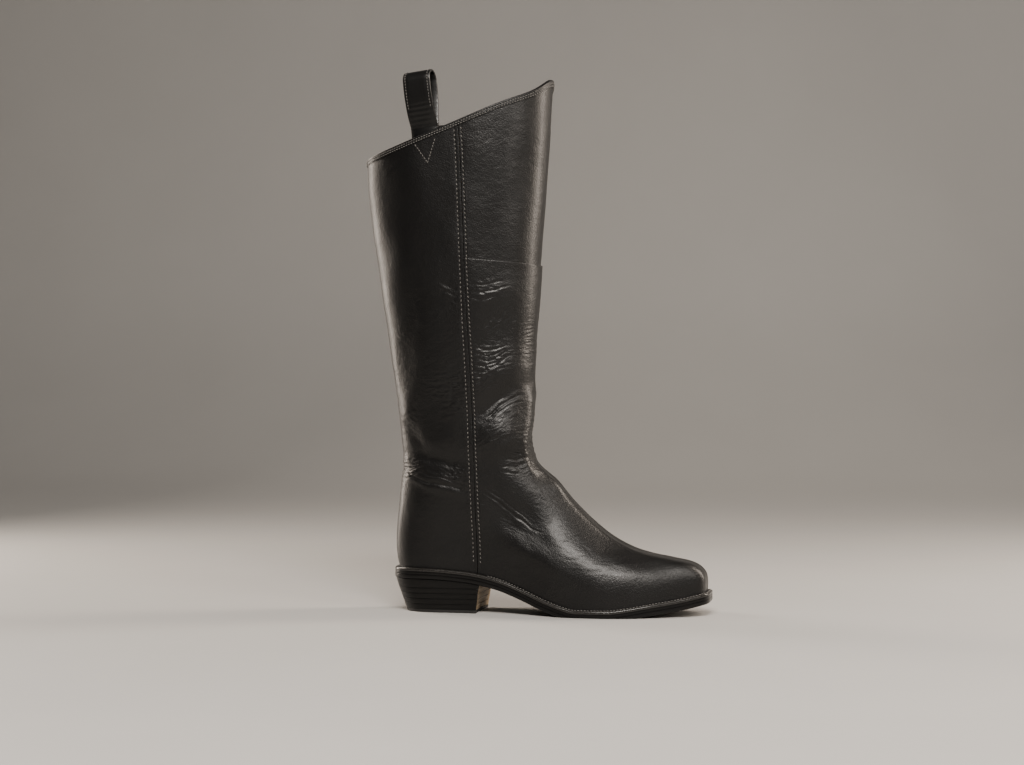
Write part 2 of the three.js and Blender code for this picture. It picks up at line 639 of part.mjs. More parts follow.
function buildSole() {
  const hole = screwHole();
  const edge = outlineLoop(WELT_EDGE);
  const inside = outlineLoop(FOOT_LINING_AT - LINING - INSOLE_PLAY);
  const filler = outlineLoop(WELT_INNER - GAP);
  const middle = layer(outlineLoop(WELT_INNER), -CUT_SPARE, CUT_SPARE);
  const welt = layer(edge, -WELT, 0).subtract(middle);
  const cork = layer(filler, -WELT, 0).subtract(shankStrip(GAP, CUT_SPARE)).subtract(hole);
  const midTop = -WELT - GAP;
  const outTop = midTop - MIDSOLE - GAP;
  const sockLow = 2 * GAP + INSOLE;
  const insole = layer(inside, GAP, GAP + INSOLE).subtract(hole);
  add('welt', fromSolid(welt), STAINED, HALF_DULL);
  add('cork_filler', fromSolid(cork), CORK, DULL);
  add('shank', fromSolid(shankStrip(0, 0)), STEEL, SATIN);
  add('insole', fromSolid(insole), TAN, DULL);
  add('sock_liner', fromSolid(layer(inside, sockLow, sockLow + SOCK)), TAPE, DULL);
  add('midsole', fromSolid(layer(edge, midTop - MIDSOLE, midTop).subtract(hole)), STAINED, HALF_DULL);
  add('outsole', fromSolid(layer(edge, outTop - OUTSOLE, outTop).subtract(hole)), STAINED, HALF_DULL);
}

// Spring steel strip in the cork, bent to the line of the seat; grown, it cuts its own slot.
function shankStrip(grow, taller) {
  const [x0, x1, y] = [SHANK_FROM - grow, reach(SHANK_TO) + grow, SHANK_HALF_WIDTH + grow];
  const loop = [[x0, -y], [x1, -y], [x1, y], [x0, y]];
  return layer(loop, SHANK_INSET - WELT - taller, taller - SHANK_INSET);
}

// Everything over the outsole's bottom face, so that the wedge is cut to fit under it.
function overTheHeel() {
  const [x0, x1] = [HEEL_BACK_TOP - CUT_SPARE, HEEL_BREAST_TOP + CUT_SPARE];
  const loop = [[x0, -HEEL_ROOM], [x1, -HEEL_ROOM], [x1, HEEL_ROOM], [x0, HEEL_ROOM]];
  return layer(loop, -STACK - GAP, HEEL_ROOM);
}

function buildHeel() {
  const block = heelBlock();
  const hole = screwHole();
  const slab = (z0, z1) => (
    block.intersect(box(-HEEL_ROOM, HEEL_ROOM, -HEEL_ROOM, HEEL_ROOM, z0, z1)));
  const wedgeBase = seat(HEEL_BREAST_TOP) - STACK - GAP - WEDGE_EDGE;
  const pitch = (wedgeBase - TOP_LIFT - GAP) / LIFTS;
  add('top_lift', fromSolid(slab(0, TOP_LIFT)), RUBBER, DULL);
  for (let i = 0; i < LIFTS; i += 1) {
    const z0 = TOP_LIFT + GAP + i * pitch;
    const lift = slab(z0, z0 + pitch - GAP).subtract(hole);
    add(`heel_lift_${i + 1}`, fromSolid(lift), STACKED, HALF_DULL);
  }
  const wedge = slab(wedgeBase, HEEL_LOFT_TOP - TRIM).subtract(overTheHeel()).subtract(hole);
  add('heel_wedge', fromSolid(wedge), STACKED, HALF_DULL);
  const screw = upright(SCREW_RADIUS, screwTop - SCREW_LENGTH, screwTop);
  add('heel_screw', fromSolid(screw), STEEL, SATIN);
}

function buildStraps() {
  add('near_strap_tail', strapTail(-1), CALF, HALF_DULL);
  add('far_strap_tail', strapTail(1), CALF, HALF_DULL);
  add('near_strap_loop', strapLoop(-1, 0), CALF, HALF_DULL);
  add('far_strap_loop', strapLoop(1, FAR_STRAP_FOLD), CALF, HALF_DULL);
}

buildUpper();
buildLinings();
buildStiffeners();
buildStays();
buildBinding();
buildSole();
buildHeel();
buildStraps();

export default group;
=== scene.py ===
"""Tall riding boot: leather upper, sewn seams, pull straps, welted sole and stacked heel."""
import json
import math

import bpy
import numpy as np
from bpy.props import FloatProperty, PointerProperty, StringProperty
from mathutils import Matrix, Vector


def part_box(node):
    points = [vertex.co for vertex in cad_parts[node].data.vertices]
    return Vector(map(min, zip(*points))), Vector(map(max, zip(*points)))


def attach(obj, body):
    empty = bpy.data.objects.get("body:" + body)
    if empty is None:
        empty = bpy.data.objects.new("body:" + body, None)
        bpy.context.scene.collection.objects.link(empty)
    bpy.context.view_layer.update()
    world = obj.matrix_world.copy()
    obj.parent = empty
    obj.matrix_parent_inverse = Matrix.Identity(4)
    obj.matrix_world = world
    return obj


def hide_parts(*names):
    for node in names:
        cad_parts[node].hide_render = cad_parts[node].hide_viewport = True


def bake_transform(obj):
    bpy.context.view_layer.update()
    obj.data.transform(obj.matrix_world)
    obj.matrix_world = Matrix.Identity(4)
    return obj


bl_info = {
    "name": "Riding boot maker",
    "version": (1, 0, 0),
    "blender": (4, 5, 0),
    "location": "3D View > Sidebar > Boot",
    "description": "Makes a tall leather riding boot round its working model",
    "category": "Object",
}

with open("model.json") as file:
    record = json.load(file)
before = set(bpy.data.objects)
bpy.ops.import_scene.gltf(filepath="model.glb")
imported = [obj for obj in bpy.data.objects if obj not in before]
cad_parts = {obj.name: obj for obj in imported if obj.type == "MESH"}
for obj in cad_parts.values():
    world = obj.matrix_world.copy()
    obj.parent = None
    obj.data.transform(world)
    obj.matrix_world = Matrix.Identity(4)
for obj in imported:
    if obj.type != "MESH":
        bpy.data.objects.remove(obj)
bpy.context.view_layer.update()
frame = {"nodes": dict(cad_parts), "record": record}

MM = 0.001


def node_mm(node):
    """Lowest and highest corner of a working node, in millimetres."""
    low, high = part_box(node)
    return np.array(low) / MM, np.array(high) / MM


# ------------------------------------------------------------------ sizes taken from the frame
TOE_REACH = float(node_mm("vamp")[1][0])             # front of the upper
LIFTS = 4
TOP_LIFT_HEIGHT = float(node_mm("top_lift")[1][2])
LIFT_SPANS = [tuple(float(z) for z in (node_mm(f"heel_lift_{i + 1}")[0][2],
                                       node_mm(f"heel_lift_{i + 1}")[1][2])) for i in range(LIFTS)]
WEDGE_BASE = float(node_mm("heel_wedge")[0][2])

# ------------------------------------------------------------------ leather layers, millimetres
GAP = 0.3
FEATHER_GAP = 0.15               # the upper presses into the welt more closely than in the solids
UPPER = 2.0
LINING = 1.1
STIFFENER = 1.5
SHAFT_LINING_AT = -(UPPER + GAP)
FOOT_LINING_AT = SHAFT_LINING_AT - STIFFENER - GAP
STAY = 0.8
STAY_AT = SHAFT_LINING_AT - LINING - GAP
BINDING_DEPTH = 5.2
OVERLAP = 9.0
STRIP = 0.65                     # thickness of the binding's thin strip
SEAM_ROW_FRONT, SEAM_ROW_BACK = 3.1, 3.8
LAP_RISE = 60.0
LAP_STEP = 1.7                   # the edge is skived, so it stands lower than one whole layer
WELT = 3.0
MIDSOLE = 2.4
OUTSOLE = 4.3
WELT_EDGE = 4.1
WELT_INNER = -8.0
STACK = WELT + MIDSOLE + OUTSOLE + 2 * GAP

# ------------------------------------------------------------------ shape of the boot, millimetres
THROAT_FRONT, PEAK_HEIGHT = 171.0, 495.0
THROAT_BACK, BACK_HEIGHT = 150.0, 425.0
SHAFT_WIDTH = 100.0
ANKLE = 0.4                      # share of the way up at which the foot gives way to the shaft
TOP_DIP = 6.0
PEAK_LIFT = 3.0                  # the top line turns up once more just before the peak
SECTION_FULLNESS = 0.028
CROSS_SEAM_FRONT, CROSS_SEAM_SIDE = 326.5, 331.5
SHAFT_LENGTH = (PEAK_HEIGHT - THROAT_FRONT + BACK_HEIGHT - THROAT_BACK) / 2
BREAST_X = 39.5

# Top face of the welt along the boot: x, z.
SEAT = [(-60, 45.2), (-47, 45), (-8, 44.8), (20, 42.8), (39, 40.2), (58, 35.6), (77, 28.6),
        (96, 20.6), (115, 13.8), (130, 10.3), (160, 10.3), (177, 12.4), (198, 15.9), (224, 20.2),
        (241, 24), (256, 27.6)]
# Outline of the upper at the welt: degrees round the boot from the toe, x, y.
OUTLINE_MEDIAL = [(0, 245, 3), (8, 245, 14.5), (13, 243.6, 20), (18, 238.5, 25), (27, 222, 31.8),
                  (38, 195, 39.5), (50, 165, 43.5), (62, 125, 40.5), (75, 80, 30), (90, 36.3, 25.5),
                  (105, 9, 27.2), (120, -12, 27.6), (135, -28.5, 24.2), (150, -38.8, 17),
                  (165, -42.9, 8.6), (180, -43.5, 0)]
OUTLINE_LATERAL = [(0, 245, 3), (8, 245, -9.5), (13, 243.2, -15.5), (18, 237, -20.8), (27, 218, -29),
                   (38, 190, -40.5), (50, 158, -47.5), (62, 120, -45.5), (75, 76, -35.5),
                   (90, 36.3, -30), (105, 9, -28.6), (120, -12, -27.8), (135, -28.5, -24.2),
                   (150, -38.8, -17), (165, -42.9, -8.6), (180, -43.5, 0)]
# Front centre line of the foot: share of the way up, x, z.
FOOT_FRONT = [(0, 245.2, 24.9), (0.08, 245, 38), (0.12, 242, 45), (0.17, 233, 51),
              (0.25, 214, 55.4), (0.33, 194.5, 58.8), (0.41, 176, 64), (0.5, 157.5, 74),
              (0.58, 141.5, 87), (0.66, 127.5, 101.3), (0.75, 112, 118.6), (0.83, 97, 133.2),
              (0.89, 87.6, 143), (0.94, 83, 155.5), (1, 80.4, 171)]
# Back centre line of the foot: share of the way up, x.
FOOT_BACK = [(0, -43.5), (0.1, -45.8), (0.25, -46.8), (0.41, -45.7), (0.55, -44), (0.7, -42.6),
             (0.85, -41.3), (1, -40.6)]
# Shaft: share of the way up, front x, back x, seam x, width over the width at the top.
SHAFT = [(0, 80.4, -40.6, 34, 0.75), (0.08, 84, -42.8, 33.2, 0.78), (0.2, 85.3, -46.6, 32, 0.84),
         (0.35, 87.4, -52.6, 30, 0.908), (0.5, 90.4, -59.2, 28.2, 0.956),
         (0.65, 94.2, -65.2, 26.6, 0.98), (0.8, 98, -71, 25, 0.996), (0.9, 99.8, -74.2, 23.8, 1),
         (1, 101.8, -75.6, 22, 1)]

# ------------------------------------------------------------------ folds and creases, millimetres
# Soft swells and hollows seen from the side: x, z, reach along, reach across, slope in degrees,
# height. They show on the outer side; the inner side has the same, weaker.
SWELLS = [
    (62, 166, 24, 20, 34, 7.6), (62, 204, 27, 8, 34, -3.2), (60, 228, 20, 9, 26, 1.8),
    (84, 89, 32, 24, -38, -7.6), (92, 60, 40, 11, -27, 2.2), (108, 124, 11, 7, -48, 1.6),
    (50, 146, 17, 13, 10, -1.8), (40, 96, 18, 15, 0, 1.2), (-2, 147, 27, 7, -9, -2.6),
    (-6, 129, 26, 5, -9, 1.5), (-24, 166, 15, 7, -55, -1.8), (-33, 190, 15, 7, 80, 1.6),
    (14, 160, 12, 20, 80, 0.9), (60, 262, 18, 12, 60, -1.2), (12, 250, 40, 22, 90, 1.0),
    (-30, 250, 45, 12, 82, -1.2), (60, 300, 16, 10, 10, 1.0), (76, 390, 55, 12, 86, -1.1),
    (48, 425, 28, 24, 20, 1.0), (-20, 400, 36, 16, 85, 0.8), (0, 60, 20, 30, 0, 0.8),
]
# Rounded folds that stand up: points x, z along the fold, half width, height.
FOLDS = [
    ([(84, 218), (84, 203), (82, 191), (78, 178), (75, 165), (75, 155), (78, 145), (85, 136),
      (93, 127)], 4.2, 2.2),
    ([(-36, 133), (-26, 126), (-8, 120), (10, 118), (30, 110)], 3.4, 1.1),
]
# Single creases: points x, z down the crease, half width, depth.
CREASES = [
    ([(41, 180), (51, 189), (58, 195), (67, 201), (75, 206), (82, 209)], 1.31, 1.37),
    ([(41, 175), (50, 184), (62, 194), (73, 200), (81, 202)], 1.07, 0.86),
    ([(41, 169), (48, 175), (54, 181)], 0.98, 0.65), ([(46, 192), (55, 199), (64, 205)], 0.98, 0.58),
    ([(40, 186), (47, 193), (54, 200)], 0.9, 0.5), ([(42, 162), (49, 168), (55, 173)], 0.9, 0.36),
    ([(39, 120), (57, 107), (73, 93), (88, 83), (106, 80)], 1.15, 0.86),
    ([(41, 124), (58, 111), (75, 97), (90, 87)], 0.9, 0.58),
    ([(44, 113), (60, 100), (76, 88)], 0.82, 0.36),
    ([(-36, 137), (-27, 130), (-8, 124), (10, 123), (30, 115)], 1.31, 0.94),
    ([(-33, 142), (-22, 136), (-6, 131), (10, 128), (28, 120)], 0.98, 0.58),
    ([(8, 151), (16, 143), (24, 135), (31, 129)], 0.82, 0.5),
    ([(14, 155), (21, 148), (27, 141)], 0.82, 0.36),
    ([(58, 141), (72, 139), (82, 144)], 1.07, 0.79), ([(60, 147), (71, 145), (82, 150)], 0.9, 0.65),
    ([(62, 135), (73, 133), (84, 138)], 0.9, 0.58), ([(64, 153), (73, 151), (81, 155)], 0.74, 0.43),
    ([(32, 308), (45, 306), (55, 310), (65, 312)], 0.98, 0.58),
    ([(32, 301), (46, 300), (60, 305), (70, 308)], 1.07, 0.72),
    ([(32, 295), (46, 294), (58, 298)], 0.9, 0.58),
    ([(-8, 314), (5, 310), (16, 304), (24, 299)], 0.98, 0.65),
    ([(-1, 306), (10, 301), (22, 295)], 0.98, 0.65), ([(2, 300), (12, 295), (22, 289)], 0.82, 0.43),
    ([(48, 263), (57, 274), (65, 285), (70, 289)], 0.98, 0.65),
    ([(44, 266), (53, 277), (61, 288)], 0.82, 0.5),
    ([(52, 259), (61, 270), (68, 280)], 0.82, 0.5), ([(34, 253), (45, 247), (56, 247), (67, 253)], 0.9, 0.65),
    ([(34, 247), (46, 242), (58, 244), (70, 251)], 0.74, 0.5),
    ([(34, 241), (47, 237), (59, 242), (72, 250)], 0.9, 0.65),
    ([(34, 234), (45, 232), (58, 238), (70, 247)], 0.74, 0.5),
    ([(34, 229), (45, 227), (57, 235), (69, 244)], 0.9, 0.65),
    ([(36, 222), (47, 227), (57, 233)], 0.74, 0.43),
    ([(38, 217), (49, 225), (56, 229), (65, 234)], 0.9, 0.65), ([(38, 212), (50, 219), (60, 223)], 0.74, 0.5),
    ([(38, 208), (50, 214), (59, 217)], 0.9, 0.58), ([(4, 220), (18, 218), (28, 217)], 0.82, 0.36),
    ([(6, 212), (18, 211), (28, 209)], 0.74, 0.36), ([(4, 226), (17, 225), (28, 223)], 0.74, 0.29),
    ([(3, 187), (17, 189), (28, 191)], 0.82, 0.29), ([(8, 202), (18, 202), (29, 200)], 0.74, 0.36),
    ([(10, 195), (19, 195), (30, 194)], 0.74, 0.29),
]
# Patches of fine wrinkles: x, z, reach along, reach across, slope, spacing, depth.
PATCHES = [
    (48, 301, 17, 9, 8, 2.9, 0.4), (12, 302, 16, 10, -32, 2.8, 0.66), (60, 276, 14, 11, 50, 3.0, 0.51),
    (52, 245, 22, 13, 8, 2.8, 0.46), (50, 226, 20, 12, 30, 3.1, 0.63), (14, 212, 22, 22, -4, 2.8, 0.6),
    (62, 190, 26, 12, 36, 2.9, 0.36), (52, 170, 18, 15, 38, 2.9, 0.45), (74, 142, 15, 12, 14, 3.0, 0.6),
    (18, 133, 16, 14, -32, 2.9, 0.48), (98, 110, 15, 16, -46, 2.9, 0.3), (76, 84, 30, 9, -35, 2.9, 0.26),
    (-28, 186, 11, 18, -40, 2.8, 0.45), (84, 245, 7, 34, 8, 2.8, 0.51), (-28, 136, 15, 10, 0, 3.0, 0.54),
    (150, 54, 36, 14, -14, 3.6, 0.19), (84, 160, 9, 22, -8, 2.9, 0.63), (-38, 240, 8, 50, 0, 3.0, 0.26),
    (30, 265, 40, 60, 10, 3.4, 0.13), (50, 120, 40, 40, -20, 3.2, 0.13), (0, 90, 40, 30, 0, 3.2, 0.08),
]


# ------------------------------------------------------------------ small mathematics
def smooth(t):
    """Eases from 0 to 1: three t squared less two t cubed, held at its ends."""
    t = np.clip(t, 0, 1)
    return t * t * (3 - 2 * t)


def lerp(a, b, t):
    """The value a share t of the way from a to b."""
    return a + (b - a) * t


def wrap(degs):
    """Degrees brought to between -180 and 180."""
    return degs - 360 * np.round(degs / 360)


def unit(vectors):
    """The vectors divided by their lengths."""
    return vectors / np.linalg.norm(vectors, axis=-1, keepdims=True)


def running_length(path):
    """Length along a path of points, up to each of them."""
    return np.concatenate([[0], np.cumsum(np.linalg.norm(np.diff(path, axis=0), axis=1))])


def read_off(at, total, values):
    """The values at some lengths along a path, in straight lines between its points."""
    return np.stack([np.interp(at, total, column) for column in values.T], -1)


def curve(knots, column):
    """A cubic through the knots; its slope at each is that of the line between its neighbours."""
    t = np.array([k[0] for k in knots], float)
    p = np.array([k[column] for k in knots], float)
    before = np.maximum(np.arange(len(t)) - 1, 0)
    after = np.minimum(np.arange(len(t)) + 1, len(t) - 1)
    slope = (p[after] - p[before]) / (t[after] - t[before])

    def value(x):
        x = np.asarray(x, float)
        i = np.clip(np.searchsorted(t, x, side="right") - 1, 0, len(t) - 2)
        h = t[i + 1] - t[i]
        s = np.clip((x - t[i]) / h, 0, 1)
        inside = ((2 * s ** 3 - 3 * s ** 2 + 1) * p[i] + (s ** 3 - 2 * s ** 2 + s) * h * slope[i]
                  + (3 * s ** 2 - 2 * s ** 3) * p[i + 1] + (s ** 3 - s ** 2) * h * slope[i + 1])
        return inside + slope[0] * np.minimum(x - t[0], 0) + slope[-1] * np.maximum(x - t[-1], 0)

    return value


def noise(x, y, seed):
    """Gradient noise: a random slope at each point of a square lattice, eased between them;
    about -1 to 1, and nought at every lattice point."""
    side = 97
    turns = np.random.default_rng(seed).uniform(0, 2 * np.pi, (side, side))
    xi, yi = np.floor(x).astype(int), np.floor(y).astype(int)
    dx, dy = x - xi, y - yi
    fx, fy = (t ** 3 * (t * (6 * t - 15) + 10) for t in (dx, dy))
    corner = []
    for j in (0, 1):
        for i in (0, 1):
            turn = turns[(xi + i) % side, (yi + j) % side]
            corner.append(np.cos(turn) * (dx - i) + np.sin(turn) * (dy - j))
    return 1.5 * lerp(lerp(corner[0], corner[1], fx), lerp(corner[2], corner[3], fx), fy)


# ------------------------------------------------------------------ the boot's outer face
DRAWN_TOE = 245.0                # where the tables above have the toe
STRETCH = (TOE_REACH - BREAST_X) / (DRAWN_TOE - BREAST_X)


def reach(x):
    """Ahead of the heel's breast the sole stretches with the boot's length."""
    return x + max(0.0, x - BREAST_X) * (STRETCH - 1)


seat_curve = curve([(reach(x), z) for x, z in SEAT], 1)
outlines = [[curve([(d, reach(x), y) for d, x, y in side], c) for c in (1, 2)]
            for side in (OUTLINE_MEDIAL, OUTLINE_LATERAL)]
front_x, front_z = curve(FOOT_FRONT, 1), curve(FOOT_FRONT, 2)
back_x = curve(FOOT_BACK, 1)
shaft_curves = [curve(SHAFT, c) for c in (1, 2, 3, 4)]


def seat(x):
    """Height of the welt's top face: the seat curve, never lower than the sole is thick."""
    return np.maximum(seat_curve(x), STACK)


def outline_at(deg):
    """The upper's outline at the welt: the medial curve for plus degrees, the lateral for minus."""
    a = np.abs(deg)
    medial, lateral = outlines
    inner = deg >= 0
    return np.where(inner, medial[0](a), lateral[0](a)), np.where(inner, medial[1](a), lateral[1](a))


def shaft_loop(deg, t):
    """Half an oval ahead of the seam line and half behind it, slightly squared, on a plane
    that slopes from the front down to the back; the top line sags at the sides."""
    fx, bx, sx, width = (f(t) for f in shaft_curves)
    fz, bz = lerp(THROAT_FRONT, PEAK_HEIGHT, t), lerp(THROAT_BACK, BACK_HEIGHT, t)
    u = np.radians(deg)
    c, s = np.cos(u), np.sin(u)
    full = 1 + SECTION_FULLNESS * np.sin(2 * u) ** 2
    x = sx + np.where(c >= 0, fx - sx, sx - bx) * c * full
    z = bz + (fz - bz) * (x - bx) / (fx - bx)
    near_top = np.clip((t - 0.8) / 0.2, 0, 1)
    z = z - TOP_DIP * near_top * s * s
    peak = np.exp(-(deg / 20) ** 2) - 0.9 * np.exp(-((np.abs(deg) - 38) / 20) ** 2)
    z = z + PEAK_LIFT * near_top * peak
    return np.stack([x, width * SHAFT_WIDTH / 2 * s * full, z], -1)


def foot_point(deg, w):
    """Each point goes from the welt outline to the ankle loop: the way of the instep's line at
    the front, straight up at the sides and back, eased between by the sine squared."""
    ox, oy = outline_at(deg)
    a = shaft_loop(deg, np.zeros_like(deg))
    oz = seat(ox) + FEATHER_GAP
    side = np.where(np.abs(deg) >= 90, 1, np.sin(np.radians(deg)) ** 2)
    x0, x1, z0, z1 = (float(f(e)) for f in (front_x, front_z) for e in (0, 1))
    across = lerp((x0 - front_x(w)) / (x0 - x1), smooth(w), side)
    up = lerp((front_z(w) - z0) / (z1 - z0), w, side)
    behind = np.minimum(0, np.cos(np.radians(deg))) ** 2
    bulge = back_x(w) - lerp(float(back_x(0)), float(back_x(1)), smooth(w))
    return np.stack([lerp(ox, a[..., 0], across) + bulge * behind, lerp(oy, a[..., 1], across),
                     lerp(oz, a[..., 2], up)], -1)


def base_point(deg, v):
    """The foot below the ankle's share, the shaft above it."""
    deg, v = np.broadcast_arrays(np.asarray(deg, float), np.asarray(v, float))
    deg = wrap(deg)
    low = foot_point(deg, np.minimum(v, ANKLE) / ANKLE)
    high = shaft_loop(deg, np.maximum(v - ANKLE, 0) / (1 - ANKLE))
    return np.where((v < ANKLE)[..., None], low, high)


def base_normal(deg, v):
    """The cross product of the two directions on the face, by small steps either way."""
    deg, v = np.broadcast_arrays(np.asarray(deg, float), np.asarray(v, float))
    along = base_point(deg + 0.6, v) - base_point(deg - 0.6, v)
    up = base_point(deg, v + 0.006) - base_point(deg, np.maximum(v - 0.006, 0))
    return unit(np.cross(along, up))


def shaft_share(t):
    """Share of the whole height at a share t of the shaft's."""
    return ANKLE + (1 - ANKLE) * t


def mm(length):
    """The share of the whole height that a length up the shaft takes."""
    return length / SHAFT_LENGTH * (1 - ANKLE)


def cross_seam(deg):
    """Where the vamp's top edge runs: solved so that its height is almost level."""
    deg = np.asarray(deg, float)
    target = lerp(CROSS_SEAM_SIDE, CROSS_SEAM_FRONT, np.cos(np.radians(deg)))
    t = np.full_like(deg, 0.5)
    for _ in range(8):
        t = t + (target - shaft_loop(deg, t)[..., 2]) / SHAFT_LENGTH
    return shaft_share(t)


# ------------------------------------------------------------------ relief of the worn leather
def patch_mask(x, z, cx, cz, along, across, slope):
    """A soft oval: the share left at a point, and its two distances from the middle."""
    a = math.radians(slope)
    dx, dz = x - cx, z - cz
    s, n = dx * math.cos(a) + dz * math.sin(a), dz * math.cos(a) - dx * math.sin(a)
    return np.exp(-(s / along) ** 2 - (n / across) ** 2), s, n


def line_distance(x, z, points):
    """Least distance to a broken line, and the share of the way along it."""
    best = np.full(x.shape, 1e9)
    share = np.zeros(x.shape)
    spans = len(points) - 1
    for i in range(spans):
        (ax, az), (bx, bz) = points[i], points[i + 1]
        dx, dz = bx - ax, bz - az
        t = np.clip(((x - ax) * dx + (z - az) * dz) / (dx * dx + dz * dz), 0, 1)
        d = np.hypot(x - ax - t * dx, z - az - t * dz)
        share = np.where(d < best, (i + t) / spans, share)
        best = np.minimum(best, d)
    return best, share


def side_shift(p):
    """Side-view coordinates of a point; on the inner side the folds lie a little off."""
    inner = p[..., 1] > 0
    x = p[..., 0] + np.where(inner, 3.5, 0) + 1.6 * noise(p[..., 2] / 17, p[..., 0] / 17, 3)
    z = p[..., 2] + np.where(inner, -5.0, 0) + 1.6 * noise(p[..., 0] / 15, p[..., 2] / 15, 4)
    strength = np.where(inner, 0.75, 1.0) * smooth(np.abs(p[..., 1]) / 11)
    return x, z, strength


def soft_relief(p):
    """Broad swells and hollows, rounded folds, and the notches across the ankle's back and front."""
    x, z, strength = side_shift(p)
    total = np.zeros(x.shape)
    for cx, cz, along, across, slope, height in SWELLS:
        total += height * patch_mask(x, z, cx, cz, along, across, slope)[0]
    for points, half, height in FOLDS:
        d, share = line_distance(x, z, points)
        total += height * np.exp(-(d / half) ** 2) * smooth(share * 6) * smooth((1 - share) * 6)
    total *= strength
    middle = np.exp(-(p[..., 1] / 18) ** 2)
    back = np.exp(-((z - 136) / 3.4) ** 2) * smooth((-20 - p[..., 0]) / 18)
    front = np.exp(-((z - 163) / 12) ** 2) * smooth((p[..., 0] - 60) / 16)
    total += -1.4 * back * middle
    total += -1.6 * front * np.exp(-((np.abs(p[..., 1]) - 11) / 5) ** 2)
    total += 0.7 * noise(p[..., 0] / 30, p[..., 2] / 44, 8) * strength
    return total


def fine_relief(p):
    """Single creases as rounded grooves, and patches of wrinkles: the creases of a patch lie
    where a noise drawn out along the patch passes through nought, so they wander and join."""
    x, z, strength = side_shift(p)
    total = np.zeros(x.shape)
    for points, half, depth in CREASES:
        d, share = line_distance(x, z, points)
        fade = smooth(share * 4) * smooth((1 - share) * 4)
        total -= depth * fade * (np.exp(-(d / half) ** 2) - 0.4 * np.exp(-(d / (2.6 * half)) ** 2))
    bent = 1.3 * noise(x / 8, z / 8, 21)
    for i, (cx, cz, along, across, slope, spacing, depth) in enumerate(PATCHES):
        mask, s, n = patch_mask(x, z, cx, cz, along, across, slope)
        field = noise(s / (3.4 * spacing), (n + bent) / spacing, 60 + i)
        total -= depth * mask * (np.exp(-(field / 0.3) ** 2) - 0.4)
    total += 0.05 * noise(x / 2.6, z / 2.2, 41) + 0.10 * noise(x / 6.5, z / 5.5, 42)
    bare = 22 * smooth((120 - z) / 50)
    total = total * smooth((np.abs(p[..., 1]) - bare) / 9)
    around = np.exp(-((z - 137) / 9) ** 2) * smooth((-15 - p[..., 0]) / 18)
    total += 0.24 * around * np.sin(z * 1.9 + 1.2 * noise(p[..., 1] / 6, z / 6, 31))
    front = np.exp(-((z - 160) / 20) ** 2) * smooth((p[..., 0] - 62) / 14)
    field = noise(p[..., 1] / 9, z / 3.2, 32)
    total -= 0.5 * front * (np.exp(-(field / 0.3) ** 2) - 0.4)
    return total


def seam_relief(deg, v):
    """The leather rolls down into the side seam and is drawn in along its two sewn rows."""
    d = seam_distance(deg, v)
    roll = -0.5 * (1 - np.sqrt(1 - np.clip(1 - d / 0.8, 0, 1) ** 2))
    ahead = np.abs(wrap(deg)) < 90
    row = np.where(ahead, SEAM_ROW_FRONT, SEAM_ROW_BACK)
    return roll - 0.22 * np.exp(-((d - row) / 0.7) ** 2)


def seam_distance(deg, v):
    """Millimetres round the boot from the nearer side seam."""
    return np.abs(np.abs(wrap(np.asarray(deg, float))) - 90) * mm_per_degree(v)


def mm_per_degree(v):
    """Length round the boot of one degree beside the side seam, on the outer side."""
    v = np.asarray(v, float)
    step = base_point(np.full(v.shape, -90.5), v) - base_point(np.full(v.shape, -89.5), v)
    return np.linalg.norm(step, axis=-1)


def skin(deg, v, depth, fine=True, seam=True):
    """A point of the leather: the base face plus its normal times the relief and the depth."""
    deg, v = np.broadcast_arrays(np.asarray(deg, float), np.asarray(v, float))
    p = base_point(deg, v)
    relief = soft_relief(p) * smooth(v / 0.05)
    if fine:
        relief = relief + fine_relief(p) * smooth(v / 0.05)
    if seam:
        relief = relief + seam_relief(deg, v)
    return p + base_normal(deg, v) * (relief + depth)[..., None]


def lap(deg, v):
    """How far the vamp has risen over the upper front panel: one layer, eased along its rise."""
    below = (cross_seam(deg) - v) / mm(1) - OVERLAP
    return LAP_STEP * smooth(1 - below / LAP_RISE)


# ------------------------------------------------------------------ meshes
def new_object(name, points, faces, material, body="boot", smooth_angle=40):
    """A mesh object from points in millimetres; its faces are shaded smooth up to an angle."""
    mesh = bpy.data.meshes.new(name)
    mesh.from_pydata((np.asarray(points, float) * MM).tolist(), [], faces)
    mesh.validate()
    mesh.update()
    piece = bpy.data.objects.new(name, mesh)
    bpy.context.scene.collection.objects.link(piece)
    mesh.materials.append(material)
    mesh.shade_smooth()
    mesh.set_sharp_from_angle(angle=math.radians(smooth_angle))
    if body:
        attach(piece, body)
    return piece


def grid_quads(rows, cols, start=0, wrap=False, flip=False):
    """Quads of a grid whose points run along columns first."""
    r, c = np.meshgrid(np.arange(rows - 1), np.arange(cols if wrap else cols - 1), indexing="ij")
    nxt = (c + 1) % cols
    quads = np.stack([r * cols + c, r * cols + nxt, (r + 1) * cols + nxt, (r + 1) * cols + c], -1)
    quads = quads.reshape(-1, 4) + start
    return quads[:, ::-1] if flip else quads


def looped_quads(grid):
    """Quads of a grid that is closed both ways: round its columns, and from last row to first."""
    rows, cols = grid.shape[:2]
    return grid_quads(rows + 1, cols, wrap=True) % (rows * cols)


def turned_out(points, faces):
    """The faces, all turned round if the closed shape they make is inside out."""
    volume = 0.0
    for face in faces:
        p = points[face]
        volume += np.einsum("i,i->", p[0], np.cross(p[1:-1], p[2:]).sum(0))
    return faces if volume > 0 else [list(face)[::-1] for face in faces]


def closed_piece(name, grid, faces, material, node=None, body="boot"):
    """A piece whose faces close it, turned to point outwards; it stands in for a working node."""
    points = grid.reshape(-1, 3)
    faces = [list(face) for face in faces]
    piece = new_object(name, points, turned_out(points, faces), material, body=body)
    if node:
        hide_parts(node)
    return piece


